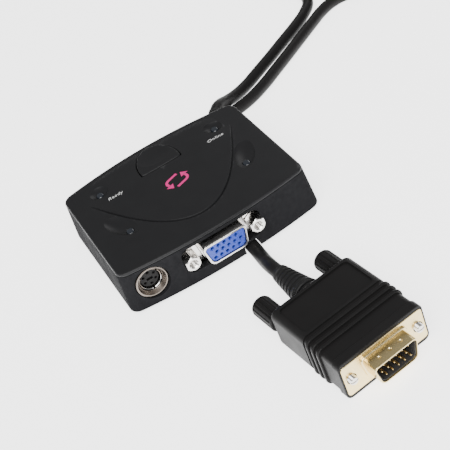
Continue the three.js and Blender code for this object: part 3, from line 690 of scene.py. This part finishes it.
# %% Posts under the lid
CASE_SCREWS = [middle_of(f"case_screw_{number}").xy for number in (1, 2, 3, 4)]
BOARD_SCREWS = [middle_of(f"board_screw_{number}").xy for number in (1, 2)]
BOARD_Z = low_of("circuit_board").z
PILOT_R = 1.15
for at in CASE_SCREWS:
    post = bar("post", 2.6, (*at, BOARD_Z), TOP_Z - 1.5 - BOARD_Z, "Z", 32)
    carve(post, bar("pilot", PILOT_R, (*at, 0), BOARD_Z + 5.5, "Z", 24))
    carve(lid, post, how="UNION")
finish(lid, "case", "case_black", satin_black, "top_lid", angle=20)

# %% [markdown]
# The lower shell is the same outline, drawn a little wider towards the table so that it leaves its mould.
# It is hollowed with a smaller block, then cut for the ports, the leads and the cord's channel.

# %% The lower shell
def flare_out(piece, amount):
    """Widens a block towards its foot, as the draft of a mould does."""
    for corner in piece.data.vertices:
        z = corner.co.z / MM
        grow = amount * (SEAM_Z - z) / (SEAM_Z - BOTTOM_Z)
        corner.co.x *= 1 + grow / (CASE_W / 2)
        corner.co.y = (corner.co.y / MM - MIDDLE_Y) * (1 + grow / (CASE_D / 2 + 3.5)) * MM + MIDDLE_Y * MM


shell = case_block("lower_moulding", 0, BOTTOM_Z, SEAM_Z - 0.3)
flare_out(shell, DRAFT)
round_edges(shell, 0.7, 4, lambda at, edge: at.z < BOTTOM_Z + 0.01
            and any(abs(face.normal.z) < 0.5 for face in edge.link_faces))
carve(shell, case_block("hollow", WALL, BOTTOM_Z + WALL, SEAM_Z + 2))
vga = middle_of("video_socket_shell")
vga_low, vga_high = low_of("video_socket_shell"), high_of("video_socket_shell")
din = middle_of("mini_din_bezel")
CHANNEL_X, CHANNEL_W, CHANNEL_TOP = 8.6, 6.0, 5.2
arch = block("arch", (CHANNEL_X - 3.9, -50, BOTTOM_Z), (CHANNEL_X + 3.9, 50, CHANNEL_TOP + 0.8))
carve(arch, case_block("inside_case", 1, 0, 30), how="INTERSECT")
bosses = [bar("boss", 4, (*at, BOTTOM_Z + 0.3), BOARD_Z - 0.7 - BOTTOM_Z, "Z", 32) for at in CASE_SCREWS]
standoffs = [bar("standoff", 2.5, (*at, BOTTOM_Z + 0.3), BOARD_Z - 0.6 - BOTTOM_Z, "Z", 24)
             for at in BOARD_SCREWS]
carve(shell, arch, *bosses, *standoffs, how="UNION")

port_hole = block("port_hole", (vga.x - 15.1, -50, vga.z - 4.8), (vga.x + 15.1, MIDDLE_Y - 10, vga.z + 4.8))
round_edges(port_hole, 2.9, 8, lengthwise)
channel = block("channel", (CHANNEL_X - CHANNEL_W / 2, -50, -1),
                (CHANNEL_X + CHANNEL_W / 2, 50, CHANNEL_TOP))
round_edges(channel, 1.2, 4, lambda at, edge: at.z > CHANNEL_TOP - 0.01 and abs(at.y) < 1)
DIN_R = (high_of("mini_din_bezel").x - low_of("mini_din_bezel").x) / 2
GLAND_X, GLAND_Z = -middle_of("blanking_plug").x, middle_of("blanking_plug").z
carve(shell, port_hole, channel, bar("din_hole", DIN_R + 0.25, (din.x, -50, din.z), 30, "Y", 64),
      *[bar("lead_hole", 3.3, (side * GLAND_X, 20, GLAND_Z), 30, "Y", 40) for side in (-1, 1)])
for at in CASE_SCREWS:
    carve(shell, bar("screw_hole", 1.6, (*at, 0), 10, "Z", 24),
          bar("recess", 2.8, (*at, 0), BOTTOM_Z + 2.4, "Z", 32))
for at in BOARD_SCREWS:
    carve(shell, bar("pilot", PILOT_R, (*at, BOTTOM_Z + WALL), 6, "Z", 24))
# The lower shell takes the darker, shaded copy of the case black.
finish(shell, "case", "case_black", shaded_wall_black, "lower_shell")

# %% [markdown]
# Round things that change width along their length, such as a strain relief or a knob, are spun: half of
# their outline is drawn as a chain of points, each a radius and a place along the Y axis, and turned once
# round that axis.

# %% Helpers: spun pieces and places
def spun(name, outline, sides=48):
    mesh = bpy.data.meshes.new(name)
    mesh.from_pydata([(r * MM, y * MM, 0) for r, y in outline],
                     [(i, i + 1) for i in range(len(outline) - 1)], [])
    piece = bpy.data.objects.new(name, mesh)
    bpy.context.collection.objects.link(piece)
    choose(piece, "EDGE", lambda at, edge: True)
    bpy.ops.mesh.spin(steps=sides, angle=2 * math.pi, center=(0, 0, 0), axis=(0, 1, 0))
    bpy.ops.mesh.select_all(action="SELECT")
    bpy.ops.mesh.remove_doubles(threshold=0.001 * MM)
    bpy.ops.mesh.normals_make_consistent(inside=False)
    leave()
    return piece


def put(piece, at, turn=0):
    """Turns a piece about Z and moves it, in its mesh."""
    piece.data.transform(Matrix.Translation(Vector(at) * MM) @ Matrix.Rotation(turn, 4, "Z"))
    return piece


def slab(name, width, height, y0, y1, corner):
    """A box that faces along Y, centred on the axis, with its four long edges rounded."""
    piece = block(name, (-width / 2, y0, -height / 2), (width / 2, y1, height / 2))
    round_edges(piece, corner, 6, lengthwise)
    return piece


DEE_W, DEE_H = 16.9, 8.3


def dee(name, inset, y0, y1):
    """The D outline of a 15-way video connector, wider at the top."""
    w, h = DEE_W / 2 - inset, DEE_H / 2 - inset
    piece = block(name, (-w, y0, -h), (w, y1, h))
    for corner in piece.data.vertices:
        if corner.co.z < 0:
            corner.co.x -= math.copysign(1.4 * MM, corner.co.x)
    round_edges(piece, 1.8 - inset / 2, 7, lambda at, edge: level(edge, "X") and not level(edge, "Y"))
    return piece


def rim_of(y):
    return lambda at, edge: abs(at.y - y) < 0.01 and all(abs(v.co.y / MM - y) < 0.01 for v in edge.verts)


# %% [markdown]
# The video socket is three pieces: a nickel shell pressed from one sheet, a blue insert with fifteen
# holes in three rows, and two hexagonal nuts that clamp the plate and take the plug's screws.

# %% The video socket
PIN_STEP, ROW_STEP = 2.29, 1.98
SCREW_X = 12.5
PINS = [(i * PIN_STEP + (1.14 if row == 0 else 0) - 0.4, row * ROW_STEP)
        for row in (1, 0, -1) for i in range(-2, 3)]
VGA_AT = (vga.x, vga_high.y - 0.8, vga.z)
SOCKET_LONG = 6

socket = slab("socket_shell", 30.8, vga_high.z - vga_low.z, 0, 0.8, 1.0)
round_edges(socket, 0.2, 2, rim_of(0))
collar = dee("collar", -0.55, -0.9, 0.1)
round_edges(collar, 0.5, 4, rim_of(-0.9))
tube = dee("tube", 0, -SOCKET_LONG, 0.4)
round_edges(tube, 0.3, 4, rim_of(-SOCKET_LONG))
carve(socket, collar, tube, how="UNION")
carve(socket, dee("inside", 0.65, -SOCKET_LONG - 1, 2),
      *[bar("screw_hole", 1.7, (s * SCREW_X, -1, 0), 3) for s in (-1, 1)])
finish(put(socket, VGA_AT), "case", "nickel", nickel, "video_socket_shell")

insert = dee("socket_insert", 0.85, -SOCKET_LONG + 0.35, 0.7)
round_edges(insert, 0.25, 3, rim_of(-SOCKET_LONG + 0.35))
for x, z in PINS:
    hole = spun("hole", [(0, 3.4), (0.5, 3.4), (0.5, 0.35), (0.8, -0.05), (0.8, -1), (0, -1)], 20)
    carve(insert, put(hole, (x, -SOCKET_LONG + 0.35, z)))
finish(put(insert, VGA_AT), "case", "port_blue", port_blue, "video_socket_insert")

# %% The two hexagonal nuts
for side, word in ((-1, "left"), (1, "right")):
    nut = bar("jackscrew_nut_" + word, 2.9, (0, -5.2, 0), 4.9, sides=6)
    carve(nut, spun("chamfer", [(0, -5.2), (2.35, -5.2), (2.9, -4.75), (2.9, -0.6), (2.55, -0.3), (0, -0.3)]),
          how="INTERSECT")
    carve(nut, bar("stem", 1.4, (0, -0.5, 0), 3.9, sides=32), how="UNION")
    thread = [(r, y + ring) for ring in (0, 0.7, 1.4) for r, y in ((1.25, -4.2), (1.45, -4.05), (1.25, -3.9))]
    carve(nut, spun("bore", [(0, -6), (1.75, -6), (1.75, -5.25), (1.25, -4.7), *thread, (1.25, -1.6),
                             (0, -1.6)], 32))
    finish(put(nut, (VGA_AT[0] + side * SCREW_X, *VGA_AT[1:])), "case", "nickel", nickel,
           "jackscrew_" + word, angle=25)

# %% [markdown]
# The round keyboard socket has a dished metal ring in the wall, a thin spring shield behind it, and a
# black core with six contacts round a keyway.

# %% The round socket
din_front, din_back = low_of("mini_din_bezel").y, high_of("mini_din_bezel").y
BORE = 4.3
ring = spun("mini_din_ring", [(BORE, din_back), (DIN_R - 0.3, din_back), (DIN_R, din_back - 0.3),
                              (DIN_R, din_front + 0.35), (DIN_R - 0.1, din_front + 0.1),
                              (DIN_R - 0.35, din_front), (DIN_R - 0.65, din_front + 0.1),
                              (BORE + 0.25, din_front + 1.35), (BORE, din_front + 1.7), (BORE, din_back)], 72)
finish(put(ring, (din.x, 0, din.z)), "case", "bezel_grey", bezel_grey, "mini_din_bezel", angle=25)

shield_front, shield_back = low_of("mini_din_shield").y, high_of("mini_din_shield").y
shield = spun("mini_din_spring", [(3.65, shield_front + 0.15), (3.8, shield_front), (4.0, shield_front + 0.2),
                                  (4.0, shield_back), (3.65, shield_back), (3.65, shield_front + 0.15)], 64)
for angle in (40, 140, 270):
    slot = block("slot", (-0.35, shield_front - 1, 3), (0.35, shield_front + 3, 5))
    slot.data.transform(Matrix.Rotation(math.radians(angle - 90), 4, "Y"))
    carve(shield, slot)
finish(put(shield, (din.x, 0, din.z)), "case", "nickel", nickel, "mini_din_shield")

core_front, core_back = low_of("mini_din_core").y, high_of("mini_din_core").y
core = spun("mini_din_middle", [(0, core_front), (3.1, core_front), (3.35, core_front + 0.25),
                                (3.35, core_back), (0, core_back)], 56)
for step in range(6):
    angle = math.radians(30 + 60 * step)
    hole = spun("contact_hole", [(0, 3), (0.42, 3), (0.42, 0.2), (0.6, -0.02), (0.6, -1), (0, -1)], 20)
    carve(core, put(hole, (2.3 * math.cos(angle), core_front, 2.3 * math.sin(angle))))
carve(core, block("keyway", (-1.1, core_front - 1, -0.65), (1.1, core_front + 3.5, 0.25)))
finish(put(core, (din.x, 0, din.z)), "case", "soft_black", soft_black, "mini_din_core")

# %% [markdown]
# Rubber goods come next: four feet, a blanking plug in the unused lead hole, and the strain relief that
# turns the lead out at an angle. A relief is ribbed so that it bends in many small steps.

# %% Feet, blanking plug and strain relief
for number in (1, 2, 3, 4):
    name = f"foot_{number}"
    at, top = middle_of(name), high_of(name).z
    pad = spun(f"rubber_foot_{number}", [(0, 0.15), (2.4, 0.15), (2.7, 0), (3.5, 0), (3.85, 0.15), (4, 0.5),
                                         (4, top), (0, top)])
    pad.data.transform(Matrix.Rotation(math.pi / 2, 4, "X"))
    finish(put(pad, (at.x, at.y, 0)), "case", "rubber", rubber, name)

collar_in, plug_out = low_of("blanking_plug").y, high_of("blanking_plug").y
COLLAR = [(0, collar_in), (3.9, collar_in), (4.2, collar_in + 0.3), (4.2, collar_in + 1.2),
          (3, collar_in + 1.2), (3, plug_out - 1.2), (4.2, plug_out - 1.2), (4.2, plug_out - 0.4),
          (3.8, plug_out)]
blank = spun("blanking_cap", COLLAR + [(2.4, plug_out), (2.2, plug_out - 0.2), (2.2, plug_out - 0.6),
                                       (0, plug_out - 0.6)])
finish(put(blank, (-GLAND_X, 0, GLAND_Z)), "case", "rubber", rubber, "blanking_plug", angle=25)


def ribbed(start, stop, wide, narrow, ribs, depth):
    """Points along a tapering, ribbed relief: radius and place."""
    points = []
    pitch = (stop - start) / ribs
    for i in range(ribs):
        for share, groove in ((0, 0), (0.5, 0), (0.58, depth), (0.92, depth)):
            t = (i + share) / ribs
            points.append((wide + (narrow - wide) * t - groove, start + (i + share) * pitch))
    return points


RELIEF_TURN = math.radians(-30)
relief = spun("lead_boot", [(0, -0.6), (3.4, -0.6)] + ribbed(0.2, 8.4, 3.4, 2.85, 6, 0.35)
              + [(2.8, 8.5), (2.75, 9.35), (0, 9.35)])
put(relief, (0, plug_out - 0.8, 0), RELIEF_TURN)
carve(relief, spun("relief_collar", COLLAR + [(0, plug_out)]), how="UNION")
finish(put(relief, (GLAND_X, 0, GLAND_Z)), "case", "rubber", rubber, "lead_relief", angle=25)

# %% [markdown]
# The plug at the end of the lead is a moulded hood with three raised bands that give grip, a gold-plated
# face and shell, a black insulator with fifteen pins, and two long thumbscrews. It lies on the table,
# turned a little, so its pieces are shaped on the Y axis and put in place together at the end.

# %% Where the plug lies
turning = {joint["name"]: joint for joint in frame["joints"]}
screw_places = [Vector(turning[word + "_thumbscrew_turn"]["pos_m"]) / MM for word in ("left", "right")]
axis = Vector(turning["left_thumbscrew_turn"]["axis"])
PLUG_AT = (screw_places[0] + screw_places[1]) / 2
PLUG_TURN = math.atan2(axis.x, -axis.y)
FACE = -33
HOOD_W, HOOD_H = 31.4, 14.2
print("plug at", [round(v, 2) for v in PLUG_AT], "turned", round(math.degrees(PLUG_TURN), 1))

# %% The hood
hood = slab("hood_moulding", HOOD_W, HOOD_H, FACE + 16, 0, 2.4)
round_edges(hood, 1.6, 6, rim_of(0))
front = slab("front", HOOD_W - 0.7, HOOD_H - 0.7, FACE + 0.6, FACE + 17, 1.9)
lip = slab("lip", HOOD_W, HOOD_H, FACE - 0.9, FACE + 2.4, 2.0)
round_edges(lip, 0.3, 3, rim_of(FACE - 0.9))
round_edges(lip, 0.3, 3, rim_of(FACE + 2.4))
carve(hood, front, lip, how="UNION")
for y in (8, 10.6, 13.2):
    band = slab("band", HOOD_W + 0.7, HOOD_H + 0.7, FACE + y, FACE + y + 1.1, 2.3)
    round_edges(band, 0.3, 3, rim_of(FACE + y))
    round_edges(band, 0.3, 3, rim_of(FACE + y + 1.1))
    carve(hood, band, how="UNION")
for side in (-1, 1):
    pan = block("pan", (-HOOD_W / 2 + 2.4, FACE + 17.2, HOOD_H / 2 - 0.45),
                (HOOD_W / 2 - 2.4, -2.2, HOOD_H / 2 + 2))
    round_edges(pan, 1.6, 6, upright)
    pan.data.transform(Matrix.Rotation(math.pi * (side < 0), 4, "Y"))
    carve(hood, pan)
    carve(hood, bar("screw_way", 1.75, (side * SCREW_X, FACE - 1, 0), 36, sides=40))
carve(hood, slab("plate_seat", HOOD_W - 1, HOOD_H - 2.4, FACE - 2, FACE, 1.3),
      bar("neck", 3.3, (0, -7, 0), 8), dee("pocket", 0.75, FACE - 1, FACE + 6.5),
      block("table", (-30, -50, -HOOD_H), (30, 20, -HOOD_H / 2)))
finish(put(hood, PLUG_AT, PLUG_TURN), "case", "soft_black", soft_black, "plug_hood")

# %% The plug's face, shell, insulator and pins
PLATE_Y = FACE - 0.3
PLATE_T = 0.8
PLATE_FRONT = PLATE_Y - PLATE_T
plate = slab("plug_face", HOOD_W - 1.2, HOOD_H - 2.6, PLATE_FRONT, PLATE_Y, 1.2)
round_edges(plate, 0.25, 3, rim_of(PLATE_FRONT))
step = dee("step", -0.45, PLATE_FRONT - 0.8, PLATE_Y)
round_edges(step, 0.5, 4, rim_of(PLATE_FRONT - 0.8))
nose = dee("nose", 0.35, PLATE_FRONT - 5.8, PLATE_Y)
round_edges(nose, 0.2, 3, rim_of(PLATE_FRONT - 5.8))
carve(plate, step, nose, how="UNION")
carve(plate, dee("inside", 0.75, PLATE_Y - 9, PLATE_Y + 2),
      *[bar("screw_hole", 1.75, (s * SCREW_X, PLATE_Y - 3, 0), 5, sides=40) for s in (-1, 1)],
      *[ball("dimple", (0.75, 0.75, 0.6), (x, PLATE_Y - 4, DEE_H / 2 - 0.1), sides=24) for x in (-4, 0, 4)])
finish(put(plate, PLUG_AT, PLUG_TURN), "case", "gold", gold, "plug_shell")

insulator = dee("plug_insulator_block", 1.05, PLATE_FRONT - 1.2, PLATE_Y + 1.4)
round_edges(insulator, 0.2, 2, rim_of(PLATE_FRONT - 1.2))
sleeve = dee("sleeve", 0.8, PLATE_FRONT - 5.2, PLATE_FRONT)
carve(sleeve, dee("opening", 1.15, PLATE_Y - 9, PLATE_Y + 1))
carve(insulator, sleeve, how="UNION")
for x, z in PINS:
    carve(insulator, bar("pin_hole", 0.62, (-x, PLATE_Y - 8, z), 12, sides=16))
finish(put(insulator, PLUG_AT, PLUG_TURN), "case", "chip_black", chip_black, "plug_insulator")

pins = dee("plug_pin_block", 1.9, PLATE_Y + 1.7, PLATE_Y + 3.2)
tip = PLATE_FRONT - 4.9
PIN = [(0, tip), (0.14, tip), (0.38, tip + 0.5), (0.38, PLATE_Y + 2), (0, PLATE_Y + 2)]
carve(pins, *[put(spun("pin", PIN, 16), (-x, 0, z)) for x, z in PINS], how="UNION")
finish(put(pins, PLUG_AT, PLUG_TURN), "case", "brass", brass, "plug_pins", angle=40)

# %% The boot behind the hood
BOOT_NECK = [(0, -6.4), (2.9, -6.4), (2.9, 0.35), (5.1, 0.35), (5.4, 0.65), (5.4, 1.5), (5.1, 1.85),
             (4.1, 1.95), (4.1, 2.7), (4.9, 2.8), (5.1, 3.1), (5.1, 3.7), (4.8, 4.1), (4.9, 4.6)]
boot = spun("plug_boot", BOOT_NECK + ribbed(5, 16.6, 4.75, 3.2, 6, 0.4)
            + [(3.15, 16.8), (2.95, 18), (0, 18)], 56)
finish(put(boot, PLUG_AT, PLUG_TURN), "case", "rubber", rubber, "plug_relief", angle=25)

# %% [markdown]
# A thumbscrew is a long plated rod with a fluted black grip moulded on its tail. Both are spun. The
# grip's flutes are cut by thin bars set round it, and the rod's tip has a few rings for its thread.

# %% Thumbscrews
FLUTES = 14
for side, word in ((-1, "left"), (1, "right")):
    grip = spun(f"thumbscrew_grip_{word}", [(0, 0.6), (3.3, 0.6), (3.65, 1.0), (3.65, 10.7), (3.45, 11.3),
                                            (2.9, 11.8), (2.2, 12), (0, 12)], 84)
    for i in range(FLUTES):
        angle = 2 * math.pi * i / FLUTES
        carve(grip, bar("flute", 0.42, (3.8 * math.cos(angle), 1.5, 3.8 * math.sin(angle)), 9.2, sides=12))
    put(grip, (side * SCREW_X, 0, 0))
    finish(put(grip, PLUG_AT, PLUG_TURN), word + "_thumbscrew", "soft_black", soft_black,
           "thumbscrew_" + word, angle=25)

    tip = PLATE_FRONT - 1.6
    outline = [(0, tip), (0.6, tip), (1.15, tip + 0.15)]
    for i in range(5):
        outline += [(1.15, tip + 0.2 + i * 0.5), (1.42, tip + 0.42 + i * 0.5)]
    outline += [(1.15, tip + 2.7), (1.45, tip + 3.2), (1.45, 0.6), (0, 0.6)]
    rod = spun("thumbscrew_rod_" + word, outline, 36)
    carve(rod, block("slot", (-1.6, tip - 1, -0.25), (1.6, tip + 0.5, 0.25)))
    put(rod, (side * SCREW_X, 0, 0))
    finish(put(rod, PLUG_AT, PLUG_TURN), word + "_thumbscrew", "nickel", nickel, angle=25)

# %% [markdown]
# The coil of spare lead is held by a rubber strap that clips over the turns.

# %% The coil's tie
tie_low, tie_high = low_of("coil_tie"), high_of("coil_tie")
tie_x, tie_y = (tie_low.x + tie_high.x) / 2, (tie_low.y + tie_high.y) / 2
tie_w, tie_h = tie_high.x - tie_low.x, tie_high.z
strap = slab("coil_strap", tie_w, tie_h * 2, -4, 4, 2.5)
round_edges(strap, 0.4, 3, rim_of(-4))
round_edges(strap, 0.4, 3, rim_of(4))
carve(strap, slab("opening", tie_w - 2, tie_h * 2 - 2, -5, 5, 2), block("below", (-20, -9, -20), (20, 9, 0)))
for y in (-2, 0, 2):
    carve(strap, block("grip", (-4, y - 0.3, tie_h - 0.25), (4, y + 0.3, tie_h + 1)))
finish(put(strap, (tie_x, tie_y, 0)), "case", "rubber", rubber, "coil_tie")

# %% [markdown]
# The print on the panel is ink, so it is almost flat. Two short plain words stand in front of the upper
# windows, and a pink pictogram of two opposing arrows says that the button swaps between two computers.
# The words are text turned into a mesh; the arrows are ribbons drawn along a path.

# %% Printed words
def lay_on_panel(piece, thickness=0.04):
    """Drops a flat print onto the panel: its lower side sinks in slightly, its upper side stands proud."""
    for corner in piece.data.vertices:
        x, y = corner.co.x / MM, corner.co.y / MM
        surface = TOP_Z - 0.06 + (STEP + 0.06) * fade(x, y)
        corner.co.z = (surface + (thickness if corner.co.z > 0 else -thickness)) * MM
    return piece


def printed_word(name, text, at):
    letters = bpy.data.curves.new(name, "FONT")
    letters.body = text
    letters.size = 2.25 * MM
    letters.shear = 0.25
    letters.space_character = 1.08
    letters.align_x = "CENTER"
    letters.extrude = 0.02 * MM
    word = bpy.data.objects.new(name, letters)
    bpy.context.collection.objects.link(word)
    take(word)
    bpy.ops.object.convert(target="MESH")
    word = bpy.context.object
    choose(word, "VERT", lambda spot, corner: True)
    bpy.ops.mesh.remove_doubles(threshold=0.001 * MM)
    leave()
    return lay_on_panel(put(word, (*at, 0)))


for name, text, x in (("left_word", "Ready", -20.0), ("right_word", "Online", 21.4)):
    finish(printed_word(name, text, (x, 12.6)), "case", "white_nylon", label_white)


# %% Printed arrows
def ribbon(points, width):
    """Corners of a ribbon of even width along a path, left side then right side."""
    left, right = [], []
    for i, point in enumerate(points):
        ahead = points[min(i + 1, len(points) - 1)] - points[max(i - 1, 0)]
        side = Vector((-ahead.y, ahead.x)).normalized() * width / 2
        left.append(point + side)
        right.append(point - side)
    return left + right[::-1]


def arrow(name, turn):
    """A hooked arrow: a straight run, a quarter bend and a head. turn sets it round the middle."""
    bend = [Vector((1.7 + 1.9 * math.sin(a), -1.0 - 1.9 * math.cos(a)))
            for a in (math.pi / 2 * i / 10 for i in range(11))]
    path = [Vector((-2.4, -2.9)), *bend, Vector((3.6, -0.1))]
    head = [Vector((2.0, -0.2)), Vector((3.6, 2.2)), Vector((5.2, -0.2))]
    mesh = bpy.data.meshes.new(name)
    shapes = [ribbon(path, 1.05), head[::-1]]
    corners = [(*(point * MM), 0) for shape in shapes for point in shape]
    mesh.from_pydata(corners, [], [list(range(len(shapes[0]))),
                                   list(range(len(shapes[0]), len(corners)))])
    piece = bpy.data.objects.new(name, mesh)
    bpy.context.collection.objects.link(piece)
    apply_modifier(piece, "SOLIDIFY", thickness=0.04 * MM, offset=0)
    piece.data.transform(Matrix.Rotation(turn, 4, "Z"))
    return piece


mark = join(arrow("swap_mark", math.radians(20)), arrow("second_arrow", math.radians(200)))
face_outward(mark)
finish(lay_on_panel(put(mark, (0.5, 2.6, 0))), "case", "white_nylon", mark_pink)

# %% [markdown]
# Every piece that hangs on the lead now exists, so the lead gets its finish: the soft black vinyl.

cord.data.materials.append(soft_black)

# %% [markdown]
# The table is a white sheet, lit a little from within so that it stays white. The light is soft: a large
# panel high in front and to the left, and a weaker one behind at the right.

# %% Floor and lights
bpy.ops.object.select_all(action="DESELECT")
bpy.ops.mesh.primitive_plane_add(size=6, location=(0, 0, 0))
floor = bpy.context.object
floor.name = "floor"
paper = bpy.data.materials.new("white_table")
paper.use_nodes = True
for socket, value in (("Base Color", (0.9, 0.9, 0.9, 1)), ("Roughness", 0.9),
                      ("Emission Color", (1, 1, 1, 1)), ("Emission Strength", 2.6)):
    paper.node_tree.nodes["Principled BSDF"].inputs[socket].default_value = value
floor.data.materials.append(paper)

world = bpy.data.worlds.new("studio")
bpy.context.scene.world = world
world.use_nodes = True
world.node_tree.nodes["Background"].inputs["Color"].default_value = (1, 1, 1, 1)
world.node_tree.nodes["Background"].inputs["Strength"].default_value = 0.34


def panel_light(name, location, target, size, power):
    data = bpy.data.lights.new(name, "AREA")
    data.shape = "RECTANGLE"
    data.size, data.size_y = size
    data.energy = power
    lamp = bpy.data.objects.new(name, data)
    lamp.location = location
    lamp.rotation_euler = (Vector(target) - Vector(location)).to_track_quat("-Z", "Y").to_euler()
    bpy.context.collection.objects.link(lamp)


panel_light("overhead_panel", (-0.5, -1.2, 1.3), (0, 0, 0), (1.8, 1.4), 62)
panel_light("back_right_panel", (1.0, 1.2, 0.8), (0.02, 0, 0.02), (0.7, 0.7), 3.5)
